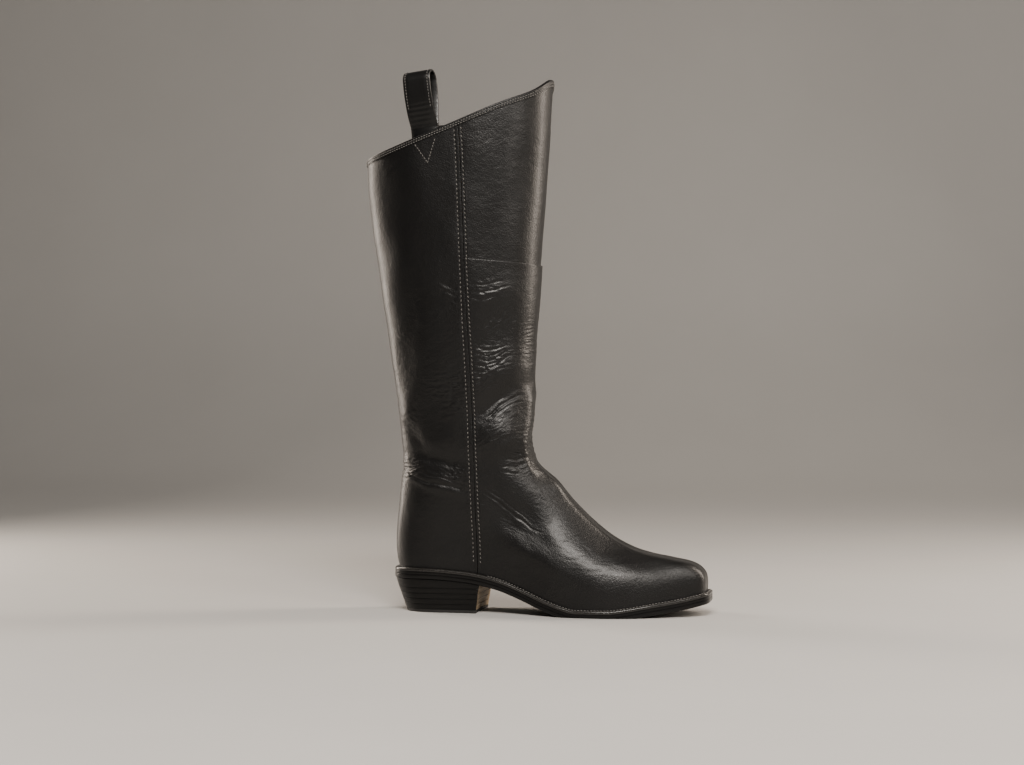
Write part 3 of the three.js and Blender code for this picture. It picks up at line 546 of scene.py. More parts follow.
def capped_piece(name, grid, material, body="boot"):
    """Rings of points joined into a tube, with one face over each end."""
    rows, cols = grid.shape[:2]
    faces = grid_quads(rows, cols, wrap=True).tolist()
    faces.append(list(range(cols))[::-1])
    faces.append([(rows - 1) * cols + i for i in range(cols)])
    return closed_piece(name, grid, faces, material, body=body)


def rim(fine, coarse, step):
    """Triangles between an edge and one with fewer points, one for every step of the first."""
    i = np.arange(len(fine) - 1)
    near = np.minimum((i + step // 2) // step, len(coarse) - 1)
    first = np.stack([fine[i], coarse[near], fine[i + 1]], -1)
    j = np.arange(len(coarse) - 1)
    turn = np.minimum(j * step + step - step // 2, len(fine) - 1)
    second = np.stack([fine[turn], coarse[j], coarse[j + 1]], -1)
    return np.concatenate([first, second])


def shell(outer, inner, step):
    """A closed leather piece: a fine outer grid, an inner one that keeps every step-th point,
    and rims of triangles round the four edges."""
    rows, cols = outer.shape[:2]
    inner_rows, inner_cols = inner.shape[:2]
    start = rows * cols
    out = np.arange(start).reshape(rows, cols)
    ins = start + np.arange(inner_rows * inner_cols).reshape(inner_rows, inner_cols)
    faces = grid_quads(rows, cols).tolist()
    faces += grid_quads(inner_rows, inner_cols, start, flip=True).tolist()
    faces += rim(out[0], ins[0], step).tolist()
    faces += rim(out[-1], ins[-1], step)[:, ::-1].tolist()
    faces += rim(out[:, 0], ins[:, 0], step)[:, ::-1].tolist()
    faces += rim(out[:, -1], ins[:, -1], step).tolist()
    return np.concatenate([outer.reshape(-1, 3), inner.reshape(-1, 3)]), faces


def even_steps(low, high, count, length):
    """Values from low to high such that the length function grows evenly between them."""
    fine = np.linspace(low, high, 400)
    total = np.concatenate([[0], np.cumsum(length((fine[1:] + fine[:-1]) / 2) * np.diff(fine))])
    return np.interp(np.linspace(0, total[-1], count), total, fine)


def round_length(degs):
    """How long a degree is round the boot, averaged up the height."""
    v = np.linspace(0.02, 0.98, 25)[:, None]
    step = base_point(degs[None, :] + 0.5, v) - base_point(degs[None, :] - 0.5, v)
    return np.linalg.norm(step, axis=-1).mean(0) + 0.25


def up_length(vs):
    """How long a share is up the boot, averaged round it, with more where the leather creases."""
    deg = np.linspace(-170, 170, 35)[None, :]
    step = base_point(deg, vs[:, None] + 0.004) - base_point(deg, np.maximum(vs[:, None] - 0.004, 0))
    z = base_point(np.full(vs.shape, -70.0), vs)[:, 2]
    busy = 1 + 0.9 * smooth((z - 70) / 40) * smooth((330 - z) / 40)
    return np.linalg.norm(step, axis=-1).mean(1) * busy


def with_edges(values, unit):
    """The values, with the first and last stretch cut more finely for rolled edges."""
    near = np.array([0, 0.35, 0.8, 1.3, 1.9, 2.5, 3.1, 3.7, 4.3, 5.0]) * unit
    low = values[0] + near
    high = values[-1] - near[::-1]
    middle = values[(values > low[-1] + 0.4 * unit) & (values < high[0] - 0.4 * unit)]
    return np.concatenate([low, middle, high])


def trimmed(values, step):
    """The values thinned so that their count is a whole number of steps, plus one."""
    count = (len(values) - 1) // step * step + 1
    return np.interp(np.linspace(0, len(values) - 1, count), np.arange(len(values)), values)


def leather_grid(cols, rows, low, high, depth, fine, seam):
    """Grid of skin points: columns in degrees; rows as shares between two edges. Gives each
    point's share of the height too."""
    deg = np.broadcast_to(cols[None, :], (len(rows), len(cols)))
    v = lerp(low(cols)[None, :], high(cols)[None, :], rows[:, None])
    return v, skin(deg, v, depth(deg, v), fine, seam)


def settle(points, v):
    """The lowest row stands on the welt."""
    foot = v <= 0
    z = seat(points[..., 0]) + FEATHER_GAP
    points[..., 2] = np.where(foot, z, points[..., 2])
    return points


def leather_piece(name, material, cols, rows, low, high, depth, thickness, step,
                  fine=True, seam=True, top_roll=0.0):
    """A panel of leather: its outer face at a depth, its flesh side one thickness below, with
    the top edge rolled off where a radius is given."""
    cols, rows = trimmed(cols, step), trimmed(rows, step)

    def outer_depth(deg, v):
        from_top = (high(deg) - v) / mm(1)
        roll = np.clip(1 - from_top / max(top_roll, 0.01), 0, 1) if top_roll else 0 * v
        return depth(deg, v) - top_roll * 0.6 * (1 - np.sqrt(1 - roll ** 2))

    def inner_depth(deg, v):
        return depth(deg, v) - thickness

    v, outer = leather_grid(cols, rows, low, high, outer_depth, fine, seam)
    w, inner = leather_grid(cols[::step], rows[::step], low, high, inner_depth, False, False)
    points, faces = shell(settle(outer, v), settle(inner, w), step)
    return new_object(name, points, faces, material)


def flat(value):
    """A function of any number of arrays that always gives this value."""
    return lambda *a: np.full(np.shape(a[0]), float(value))


# ------------------------------------------------------------------ materials
def linear(hex_colour):
    """An sRGB hex value as linear red, green, blue, alpha."""
    rgb = [int(hex_colour[i:i + 2], 16) / 255 for i in (1, 3, 5)]
    return [c / 12.92 if c <= 0.04045 else ((c + 0.055) / 1.055) ** 2.4 for c in rgb] + [1.0]


def add_node(tree, kind, links=(), **settings):
    """Adds a node; settings name its properties or inputs, links are (input, socket) pairs."""
    node = tree.nodes.new(kind)
    for key, value in settings.items():
        if hasattr(node, key):
            setattr(node, key, value)
        else:
            node.inputs[key.replace("_", " ")].default_value = value
    for name, socket in links:
        tree.links.new(socket, node.inputs[name])
    return node


def new_material(name):
    """An empty node material with its shader: the tree, the shader and object coordinates."""
    material = bpy.data.materials.new(name)
    material.use_nodes = True
    tree = material.node_tree
    shader = tree.nodes["Principled BSDF"]
    coordinates = tree.nodes.new("ShaderNodeTexCoord").outputs["Object"]
    return material, tree, shader, coordinates


def colour_ramp(tree, factor, stops):
    """A ramp over a factor: stops are (place, hex colour)."""
    ramp = add_node(tree, "ShaderNodeValToRGB", [("Fac", factor)])
    elements = ramp.color_ramp.elements
    while len(elements) < len(stops):
        elements.new(0.5)
    for element, (place, colour) in zip(elements, stops):
        element.position = place
        element.color = linear(colour)
    return ramp.outputs["Color"]


def grain_leather(name, dark, light, roughness, grain_mm=1.1, depth_mm=0.13, coat=0.06,
                  specular=0.32):
    """Full-grain calf, drum dyed and waxed: pebbled cells about a millimetre across, with finer
    pores in them, and a soft shine that varies where hands and wear have polished it."""
    material, tree, shader, place = new_material(name)
    cells = add_node(tree, "ShaderNodeTexVoronoi", [("Vector", place)], feature="SMOOTH_F1",
                     Scale=1 / (grain_mm * MM), Smoothness=0.35)
    pores = add_node(tree, "ShaderNodeTexNoise", [("Vector", place)], Scale=1 / (0.45 * MM),
                     Detail=4.0, Roughness=0.6)
    broad = add_node(tree, "ShaderNodeTexNoise", [("Vector", place)], Scale=1 / (38 * MM),
                     Detail=5.0, Roughness=0.55)
    tree.links.new(colour_ramp(tree, broad.outputs["Fac"], [(0.32, dark), (0.72, light)]),
                   shader.inputs["Base Color"])
    shine = add_node(tree, "ShaderNodeMapRange", [("Value", broad.outputs["Fac"])],
                     From_Min=0.3, From_Max=0.7, To_Min=roughness + 0.06, To_Max=roughness - 0.06)
    tree.links.new(shine.outputs["Result"], shader.inputs["Roughness"])
    grain = add_node(tree, "ShaderNodeTexNoise", [("Vector", place)], Scale=1 / (2.6 * MM),
                     Detail=3.0, Roughness=0.6)
    coarse = add_node(tree, "ShaderNodeBump", [("Height", grain.outputs["Fac"])], Strength=0.8,
                      Distance=2.2 * depth_mm * MM)
    first = add_node(tree, "ShaderNodeBump", [("Height", cells.outputs["Distance"]),
                                              ("Normal", coarse.outputs["Normal"])],
                     Strength=0.8, Distance=1.4 * depth_mm * MM)
    second = add_node(tree, "ShaderNodeBump", [("Height", pores.outputs["Fac"]),
                                               ("Normal", first.outputs["Normal"])],
                      Strength=0.5, Distance=0.5 * depth_mm * MM)
    tree.links.new(second.outputs["Normal"], shader.inputs["Normal"])
    shader.inputs["Specular IOR Level"].default_value = specular
    shader.inputs["Coat Weight"].default_value = coat
    shader.inputs["Coat Roughness"].default_value = 0.22
    return material


def plain_surface(name, dark, light, roughness, spot_mm, bump_mm, metallic=0.0,
                  stretch=(1, 1, 1), specular=0.5):
    """A material with mottled colour and a fine uneven surface; stretch draws the marks out."""
    material, tree, shader, place = new_material(name)
    turned = add_node(tree, "ShaderNodeMapping", [("Vector", place)])
    turned.inputs["Scale"].default_value = stretch
    spots = add_node(tree, "ShaderNodeTexNoise", [("Vector", turned.outputs["Vector"])],
                     Scale=1 / (spot_mm * MM), Detail=6.0, Roughness=0.62)
    tree.links.new(colour_ramp(tree, spots.outputs["Fac"], [(0.3, dark), (0.7, light)]),
                   shader.inputs["Base Color"])
    bump = add_node(tree, "ShaderNodeBump", [("Height", spots.outputs["Fac"])], Strength=0.6,
                    Distance=bump_mm * MM)
    tree.links.new(bump.outputs["Normal"], shader.inputs["Normal"])
    shader.inputs["Roughness"].default_value = roughness
    shader.inputs["Metallic"].default_value = metallic
    shader.inputs["Specular IOR Level"].default_value = specular
    return material


def thread_with_painted_ply_sheen(name, dark, light):
    """Waxed linen thread, three-ply: slanting bands a third of a millimetre wide, painted pale and dark as
    the highlight and shade along each ply.
    """
    material, tree, shader, place = new_material(name)
    bands = add_node(tree, "ShaderNodeTexWave", [("Vector", place)], wave_type="BANDS",
                     bands_direction="DIAGONAL", Scale=1 / (2.2 * MM), Distortion=0.6)
    # Painted highlight and shade: the pale and dark bands along the plies.
    tree.links.new(colour_ramp(tree, bands.outputs["Fac"], [(0.2, dark), (0.8, light)]),
                   shader.inputs["Base Color"])
    bump = add_node(tree, "ShaderNodeBump", [("Height", bands.outputs["Fac"])], Strength=0.5,
                    Distance=0.08 * MM)
    tree.links.new(bump.outputs["Normal"], shader.inputs["Normal"])
    shader.inputs["Roughness"].default_value = 0.5
    return material


MATERIALS = {}
# Grained leathers: dark, light, roughness, then what differs from the calf of the upper.
LEATHERS = {
    # Box calf, plated smooth and edge-inked: finer pebbles and a tighter shine than the upper.
    "black strap calf": ("#070707", "#111010", 0.36, dict(grain_mm=0.7, depth_mm=0.06, coat=0.05)),
    # Vegetable-tanned calf left undyed: warm and matt, rubbed a little darker in places.
    "tan lining calf": ("#7a5b3b", "#93714c", 0.62, dict(grain_mm=0.7, depth_mm=0.04, coat=0.0)),
}
# Other finishes: dark, light, roughness, spot size and bump height in millimetres, the rest.
PLAIN = {
    # Sole leather, trimmed, inked and ironed with hot wax: near black, with faint level fibres.
    "burnished sole edge": ("#040404", "#0b0a0a", 0.3, 5.0, 0.12,
                            dict(stretch=(0.25, 0.25, 2.5), specular=0.26)),
    # Welt leather, inked and waxed: its colour is a shade paler as a painted highlight, so its line shows
    # under the upper.
    "welt with painted highlight": ("#121110", "#262422", 0.26, 2.2, 0.05, {}),
    # Lifts of leather glued, trimmed and inked: drawn-out fibres give each layer a grain.
    "stacked leather": ("#040404", "#0d0c0b", 0.4, 4.0, 0.14,
                        dict(stretch=(0.25, 0.25, 3.0), specular=0.24)),
    # The same lifts, cut and left without ink: pale brown layers, painted paler still for the light that
    # falls on the front face.
    "raw heel breast with painted light": ("#7d6a52", "#a58f70", 0.55, 2.5, 0.10, dict(stretch=(0.3, 0.3, 3.0))),
    # Moulded and cut rubber: dull, dark grey, slightly mottled by dust.
    "hard black rubber": ("#0c0b0a", "#191715", 0.62, 1.4, 0.08, {}),
    # Painted shade: dark discs laid where the awl holes are, standing in for the shade inside each hole.
    "painted awl hole shade": ("#040303", "#080706", 0.9, 1.0, 0.01, {}),
    # Cork granules pressed with glue: coarse brown specks on a rough face.
    "pressed cork": ("#6f4d2c", "#a97e4e", 0.9, 1.8, 0.3, {}),
    # Leather fibres pressed to board: dull brown with short flecks.
    "leather board": ("#5c4630", "#7b6147", 0.85, 2.4, 0.12, {}),
    # Vegetable-tanned shoulder, skived: smooth, pale and broadly clouded.
    "insole leather": ("#93724c", "#b08f66", 0.7, 6.0, 0.08, {}),
    # Thin split leather: dark brown and matt.
    "stay leather": ("#4f3a25", "#6a5138", 0.75, 2.0, 0.08, {}),
    # Rolled spring steel: grey metal with marks drawn out along the strip.
    "tempered steel": ("#7d8186", "#9da2a8", 0.32, 3.0, 0.02,
                       dict(metallic=1.0, stretch=(0.1, 1, 1))),
}


def make_materials(settings):
    """Every finish of the boot, under the maker's own names."""
    name = "waxed black calf"
    MATERIALS[name] = grain_leather(name, settings.leather_dark, settings.leather_light,
                                    settings.leather_roughness)
    for name, (dark, light, roughness, rest) in LEATHERS.items():
        MATERIALS[name] = grain_leather(name, dark, light, roughness, **rest)
    for name, (dark, light, roughness, spot, bump, rest) in PLAIN.items():
        MATERIALS[name] = plain_surface(name, dark, light, roughness, spot, bump, **rest)
    MATERIALS["black waxed thread"] = thread_with_painted_ply_sheen("black waxed thread", "#262524", "#6e6b67")


# ------------------------------------------------------------------ the upper
SEAM_GAP_MM = 0.2
FRONT, BACK = -90, 90            # the degrees at which each half starts
STAY_DEGREES = np.linspace(83, 98, 13)


def half_columns(start, count):
    """Even columns round half the boot, from a side seam to the next, finer by both seams."""
    edge = SEAM_GAP_MM / float(mm_per_degree(0.7))
    even = even_steps(start + edge, start + 180 - edge, count, round_length)
    return with_edges(even, edge / SEAM_GAP_MM)


def shares(low, high, count, unit_at_top=0.0):
    """Rows as shares from low to high, even in length, with fine ones under a rolled top."""
    v = even_steps(low, high, count, up_length)
    rows = (v - low) / (high - low)
    if unit_at_top:
        near = 1 - np.array([0, 0.3, 0.7, 1.2, 1.8, 2.6])[::-1] * unit_at_top
        rows = np.concatenate([rows[rows < near[0] - 0.5 * unit_at_top], near])
    return rows


def make_upper():
    """The three panels of the upper."""
    calf = MATERIALS["waxed black calf"]
    middle_seam = float(cross_seam(np.array([0.0]))[0])
    vamp = leather_piece("vamp_leather", calf, half_columns(FRONT, 150),
                         shares(0, middle_seam, 380, mm(1) / middle_seam), flat(0), cross_seam,
                         lap, UPPER, 4, top_roll=0.7)
    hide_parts("vamp")
    upper_front = leather_piece(
        "upper_front_leather", calf, half_columns(FRONT, 130),
        shares(middle_seam - mm(OVERLAP), 1, 150), lambda d: cross_seam(d) - mm(OVERLAP), flat(1),
        flat(0), UPPER, 4)
    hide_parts("front_shaft_panel")
    back = leather_piece("back_leather", calf, half_columns(BACK, 150),
                         shares(0, 1, 440), flat(0), flat(1), flat(0), UPPER, 4)
    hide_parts("back_panel")


def make_linings():
    """Linings and the stay tapes over the side seams."""
    tan = MATERIALS["tan lining calf"]
    low, high, foot = shaft_share(0.03), 1 - mm(0.5), ANKLE * 0.97
    rows = np.linspace(0, 1, 81)
    for node, cols, bottom, top, depth in (
            ("shaft_lining_front", half_columns(FRONT, 60), low, high, SHAFT_LINING_AT),
            ("shaft_lining_back", half_columns(BACK, 60), low, high, SHAFT_LINING_AT),
            ("vamp_lining", half_columns(FRONT, 70), 0, foot, FOOT_LINING_AT),
            ("heel_lining", half_columns(BACK, 60), 0, foot, FOOT_LINING_AT)):
        piece = leather_piece(node + "_leather", tan, cols, rows, flat(bottom),
                              flat(top), flat(depth), LINING, 4, fine=False, seam=False)
        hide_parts(node)
    top = 1 - mm(BINDING_DEPTH + 1)
    for node, cols in (("seam_stay_near", -STAY_DEGREES[::-1]), ("seam_stay_far", STAY_DEGREES)):
        piece = leather_piece(node + "_tape", MATERIALS["stay leather"], cols, rows,
                              flat(shaft_share(0.05)), flat(top), flat(STAY_AT), STAY, 4,
                              fine=False, seam=False)
        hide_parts(node)


def make_binding():
    """A strip folded over the top line: a flattened, rounded hook carried round the shaft."""
    outside, inside = STRIP, SHAFT_LINING_AT - LINING - STRIP
    middle, half = (outside + inside) / 2, (outside - inside) / 2
    turn = np.radians(np.linspace(0, 180, 15))
    over = [(middle + half * math.cos(a), 0.3 + 0.9 * math.sin(a)) for a in turn]
    inner_half = half - STRIP * 0.9
    under = [(middle + inner_half * math.cos(a), 0.1 + 0.5 * math.sin(a)) for a in turn[::-1]]
    skirt = [(0.12, -BINDING_DEPTH), (0.5, -BINDING_DEPTH + 0.25), (outside - 0.05, -4.5),
             (outside - 0.22, -3.8), (outside, -3.1), (outside, -2.2), (outside - 0.22, -1.5),
             (outside, -0.8)]
    far_skirt = [(inside, -1), (inside, -3), (inside, -4.2), (inside + 0.2, -BINDING_DEPTH)]
    profile = np.array(skirt + over + far_skirt
                       + [(inside + STRIP - 0.05, -BINDING_DEPTH), (inside + STRIP - 0.05, -3)] + under
                       + [(0.1, -3), (0.05, -BINDING_DEPTH)])
    degs = np.linspace(0, 360, 421)[:-1]
    deg, depth, rise = np.broadcast_arrays(degs[None, :], profile[:, :1], profile[:, 1:])
    wobble = 0.22 * noise(deg / 3.0, rise * 0 + 5, 51) * smooth((-rise - 1) / 3)
    points = skin(deg, 1 + mm(rise + wobble), depth, fine=False, seam=False)
    closed_piece("top_line_binding", points, looped_quads(points), MATERIALS["waxed black calf"],
                 "top_binding")


# ------------------------------------------------------------------ stitches
HOLE_SHARE = 1.5                 # an awl hole's radius over the thread's
THREAD_RINGS, THREAD_SIDES, HOLE_SIDES = 7, 6, 8
PRESSED_IN, HOLE_DEPTH = 0.05, 0.5
TOP_ROWS_BELOW = (1.5, 3.8)      # the binding's two rows, from the top line
VEE = [(-19.0, 437.0), (-6.5, 419.5), (0.5, 441.5)]      # x, z of the stitched V's corners


def circle(sides):
    """Cosines and sines of even steps round a circle."""
    a = np.arange(sides) * 2 * np.pi / sides
    return np.cos(a)[None, :, None], np.sin(a)[None, :, None]


def copied_faces(rings, sides, flip, count):
    """The faces of one small capped tube, numbered on for every copy of it."""
    starts = (np.arange(count) * rings * sides)[:, None]
    quads = grid_quads(rings, sides, wrap=True, flip=flip)
    faces = (quads[None] + starts[:, :, None]).reshape(-1, 4).tolist()
    ends = np.arange(sides)[::-1], (rings - 1) * sides + np.arange(sides)
    for end in ends:
        faces += ((end[::-1] if flip else end)[None] + starts).tolist()
    return faces


def stitch_mesh(centres, along, normal, length, radius):
    """Each stitch is a tube that rises in the middle and dips at its ends into the leather."""
    t = np.linspace(-1, 1, THREAD_RINGS)
    rise = radius * (0.75 - 1.5 * t ** 4)
    girth = radius * np.sqrt(np.clip(1 - 0.55 * t ** 6, 0.05, 1))
    spine = (centres[:, None] + along[:, None] * (t * length / 2)[:, None]
             + normal[:, None] * rise[:, None])
    cos, sin = circle(THREAD_SIDES)
    ring = cos * np.cross(normal, along)[:, None, None] + sin * normal[:, None, None]
    points = spine[:, :, None] + ring * girth[:, None, None]
    return points.reshape(-1, 3), copied_faces(THREAD_RINGS, THREAD_SIDES, False, len(centres))


def hole_shade_discs(centres, normal, radius):
    """Painted shade of the awl holes: small dark dishes pressed into the leather, one at each end of a
    stitch, standing in for the shade inside each hole.
    """
    helper = np.where(np.abs(normal[:, :1]) < 0.8, [[1.0, 0, 0]], [[0, 0, 1.0]])
    first = unit(np.cross(normal, helper))
    cos, sin = circle(HOLE_SIDES)
    ring = (cos * first[:, None] + sin * np.cross(normal, first)[:, None]) * radius
    top = centres[:, None] + ring + normal[:, None] * PRESSED_IN
    under = centres[:, None] + ring * 0.7 - normal[:, None] * HOLE_DEPTH
    points = np.concatenate([top, under], axis=1)
    return points.reshape(-1, 3), copied_faces(2, HOLE_SIDES, True, len(centres))


def sewn_row(path, normals, pitch, length, radius, slant=0.0):
    """Stitches at an even pitch along a path of points, and dark discs of painted shade at the
    awl holes between them; slant turns each stitch a little."""
    total = running_length(path)
    count = max(2, int(round(total[-1] / pitch)))
    at = (np.arange(count) + 0.5) * total[-1] / count
    gaps = np.arange(count + 1) * total[-1] / count
    normal = unit(read_off(at, total, normals))
    along = read_off(at + 0.6, total, path) - read_off(at - 0.6, total, path)
    along = unit(along - normal * np.einsum("ij,ij->i", along, normal)[:, None])
    along = along * math.cos(slant) + np.cross(normal, along) * math.sin(slant)
    return (stitch_mesh(read_off(at, total, path), along, normal, length, radius),
            hole_shade_discs(read_off(gaps, total, path), unit(read_off(gaps, total, normals)),
                       HOLE_SHARE * radius))


def join(parts):
    """One list of points and faces from several."""
    points, faces, start = [], [], 0
    for p, f in parts:
        points.append(p)
        faces += [[i + start for i in face] for face in f]
        start += len(p)
    return np.concatenate(points), faces


def seam_rows():
    """Two rows beside each side seam, from under the binding to just over the welt: slanted
    stitches ahead of the seam, on top of the lap, and straight ones behind it."""
    parts = []
    v = np.linspace(0.03, 1 - mm(BINDING_DEPTH + 1.5), 1500)
    scale = mm_per_degree(v)
    for side in (-1, 1):
        for distance, pitch, slant in ((-SEAM_ROW_FRONT, 3.9, 0.35), (SEAM_ROW_BACK, 4.1, 0.0)):
            deg = side * (90 + distance / scale)
            seam = cross_seam(deg)
            lapped = (distance < 0) & (v <= seam)
            lift = np.where(lapped, lap(deg, np.minimum(v, seam)), 0.0)
            parts.append(sewn_row(skin(deg, v, lift), base_normal(deg, v), pitch, 2.3, 0.46, slant))
    return parts


def top_rows():
    """Two fine rows round the binding."""
    parts = []
    degs = np.linspace(0, 360, 1400)
    for below in TOP_ROWS_BELOW:
        v = np.full(degs.shape, 1 - mm(below))
        path = skin(degs, v, STRIP - 0.2, fine=False, seam=False)
        parts.append(sewn_row(path, base_normal(degs, v), 2.7, 1.8, 0.42))
    return parts


def strap_vee(side):
    """The V that holds the strap's tail, sewn through the back panel under the binding. Each
    point of it is walked over the base face until it lies at its place in the side view."""
    t = np.linspace(0, 1, 60)[:, None]
    target = np.concatenate([lerp(np.array(a), np.array(b), t) for a, b in zip(VEE, VEE[1:])])
    deg = np.full(len(target), 110.0) * side
    v = np.full(len(target), 0.95)
    for _ in range(30):
        p = base_point(deg, v)
        v = v + mm(target[:, 1] - p[:, 2])
        deg = deg + (p[:, 0] - target[:, 0]) * side * 0.5
    return sewn_row(skin(deg, v, 0.0), base_normal(deg, v), 2.9, 2.2, 0.45)


def sew(name, rows, body="boot"):
    """The thread and the painted shade of the awl holes of some rows, as two pieces."""
    # The second piece is dark discs of painted shade at the awl holes.
    for column, (kind, finish) in enumerate((("_stitches", "black waxed thread"),
                                             ("_awl_hole_shade", "painted awl hole shade"))):
        points, faces = join([row[column] for row in rows])
        new_object(name + kind, points, faces, MATERIALS[finish], body=body)


def make_stitches():
    """Thread and painted awl hole shade on the seams, the top line and under the straps."""
    for name, rows in (("side_seam", seam_rows()), ("top_line", top_rows()),
                       ("strap_anchor", [strap_vee(-1), strap_vee(1)])):
        sew(name, rows)


# ------------------------------------------------------------------ pull straps
STRAP_WIDTH = 27.0
STRAP_HEIGHT = 52.0
STRAP_BULGE = 9.5
STRAP_OPENS = 36.0
STRAP_LEATHER = 2.0
STRAP_TAIL = 46.0
LEG_GAP = 0.15                   # between the two legs of the folded strip
BEND_FROM, BEND_OVER = -5.0, 13.0        # the stretch over which the strip turns at the hinge
LEG_POINTS, UNSEWN_POINTS = 90, 62       # points along a leg, and how many have no stitches


def strap_frame(joint_name, side):
    """Hinge point and the directions across, out and up of a strap, from its joint."""
    joint = next(j for j in frame["record"]["behaviour"]["joints"] if j["name"] == joint_name)
    across = unit(np.array(joint["axis"], float))
    across *= np.sign(across[0])
    out = unit(np.cross(across, [0, 0, 1]))
    out *= side * np.sign(out[1])
    return np.array(joint["pos_m"]) / MM, across, out, unit(np.cross(across, out) * side)


def strap_line(fold):
    """Centre line of the folded strip, as (outwards, upwards): the tail stands straight, the
    loop opens into a drop, and the whole turns inwards over the hinge by the fold angle."""
    crown = STRAP_HEIGHT - STRAP_BULGE
    radius = STRAP_BULGE - STRAP_LEATHER / 2
    w = np.linspace(-STRAP_TAIL, crown, LEG_POINTS)
    opening = np.sin(np.pi / 2 * np.clip(w / STRAP_OPENS, 0, 1))
    flank = np.stack([lerp((STRAP_LEATHER + LEG_GAP) / 2, radius, opening), w], -1)
    arc = np.radians(np.linspace(4, 176, 22))
    top = np.stack([radius * np.cos(arc), crown + radius * np.sin(arc)], -1)
    line = np.concatenate([flank, top, (flank * [-1, 1])[::-1]])
    heights = np.linspace(-STRAP_TAIL, STRAP_HEIGHT, 800)
    turn, angle = (math.radians(fold) * smooth((h - BEND_FROM) / BEND_OVER) for h in (heights, line[:, 1]))
    half_way = (turn[1:] + turn[:-1]) / 2
    step = heights[1] - heights[0]
    spine_out = np.concatenate([[0], np.cumsum(-np.sin(half_way) * step)])
    spine_up = np.concatenate([[0], np.cumsum(np.cos(half_way) * step)]) - STRAP_TAIL
    return np.stack([np.interp(line[:, 1], heights, spine_out) + line[:, 0] * np.cos(angle),
                     np.interp(line[:, 1], heights, spine_up) + line[:, 0] * np.sin(angle)], -1)


def strap_section():
    """Across the strip: half its width and thickness, swollen by a few hundredths in the middle
    of its outer face, with both long edges rounded off."""
    half, t = STRAP_WIDTH / 2, STRAP_LEATHER / 2
    edge = [(half - 0.7, t), (half - 0.2, t * 0.75), (half, 0), (half - 0.2, -t * 0.75), (half - 0.7, -t)]
    other = [(-s, n) for s, n in edge[::-1]]
    middle = [(-half / 2, t * 1.02), (0, t * 1.03), (half / 2, t * 1.02)]
    return np.array(other[-1:] + middle + edge + [(0, -t)] + other[:-1])


def make_strap(name, joint, side, fold, body, nodes):
    """One strip of leather, folded double: a slab carried along its centre line, with its long
    edges rounded, bending from the boot to the loop's body across the hinge."""
    at, across, out, up = strap_frame(joint, side)
    line = strap_line(fold)
    tangent = unit(np.gradient(line, axis=0))
    normal = np.stack([tangent[:, 1], -tangent[:, 0]], -1)
    section = strap_section()
    high = line[:, 1][:, None]
    s = np.broadcast_to(section[:, 0][None, :], (len(line), len(section)))
    ripple = np.sin(2 * np.pi * high / 4.3 + 1.5 * noise(s / 9, high / 9, 71))
    crease = 0.26 * ripple * smooth((15 - np.abs(high - 11)) / 8)
    lift = section[:, 1] + crease * np.sign(section[:, 1]) * smooth((STRAP_WIDTH / 2 - np.abs(s)) / 3)
    n = line[:, 0][:, None] + normal[:, 0][:, None] * lift
    w = high + normal[:, 1][:, None] * lift
    n = n - s ** 2 / 120 * (1 - smooth((high + 2) / 16))
    points = at + s[..., None] * across + n[..., None] * out + w[..., None] * up
    piece = capped_piece(name, points, MATERIALS["black strap calf"], body=None)
    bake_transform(piece)
    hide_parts(*nodes)
    sewn = slice(UNSEWN_POINTS + 1, len(line) - UNSEWN_POINTS)
    face = line[sewn] + normal[sewn] * STRAP_LEATHER / 2
    path = at + face[:, :1] * out + face[:, 1:] * up
    ways = normal[sewn, :1] * out + normal[sewn, 1:] * up
    sew(name, [sewn_row(path + edge * (STRAP_WIDTH / 2 - 2.6) * across, ways, 2.8, 1.9, 0.38)
               for edge in (-1, 1)], body)


# ------------------------------------------------------------------ sole and heel
GLUE_LINE = 0.06                 # what shows of the joint between two glued layers
CLOSE = (GAP - GLUE_LINE) / 2    # how far each layer grows into the working gap beside it
SOLE_SPINE_X, SOLE_SPINE_Y = (-15, 60, 150, 215), (0, -3, -2, 2)     # middle line of the sole
HEEL_HEIGHT = 36.0               # over which the heel's sides slope
HEEL_BACK, HEEL_BACK_GROUND, BREAST_GROUND = -47.5, -34.2, 34.2
HEEL_NARROWS = 0.875             # width at the ground over width at the sole
WEDGE_TOP = 33.0                 # before it is bent to the sole


def sole_columns(count):
    """Degrees round the outline, even in length."""
    def length(degs):
        a, b = outline_at(wrap(degs) + 0.2), outline_at(wrap(degs) - 0.2)
        return np.hypot(a[0] - b[0], a[1] - b[1]) / 0.4 + 0.05
    medial = even_steps(0, 180, count // 2 + 1, length)
    return np.concatenate([medial, -medial[1:-1][::-1]])


def outline_ring(degs, offset):
    """The upper's outline moved outwards in plan, along its normal."""
    ox, oy = outline_at(degs)
    step = 1.2
    ax, ay = outline_at(wrap(degs + step))
    bx, by = outline_at(wrap(degs - step))
    dx, dy = ax - bx, ay - by
    length = np.hypot(dx, dy)
    return ox + dy / length * offset, oy - dx / length * offset


def sole_ring_points(degs, offset, height):
    """One ring of a sole layer: its outline at an offset, its height measured from the seat."""
    x, y = outline_ring(degs, offset)
    return np.stack([x, y, seat(x) + height], -1)


def sole_face(ring, spine, height, share):
    """A ring of a layer's flat face: the outline drawn in to the spine along its middle."""
    x, y = lerp(spine[0], ring[:, 0], share), lerp(spine[1], ring[:, 1], share)
    return np.stack([x, y, seat(x) + height], -1)


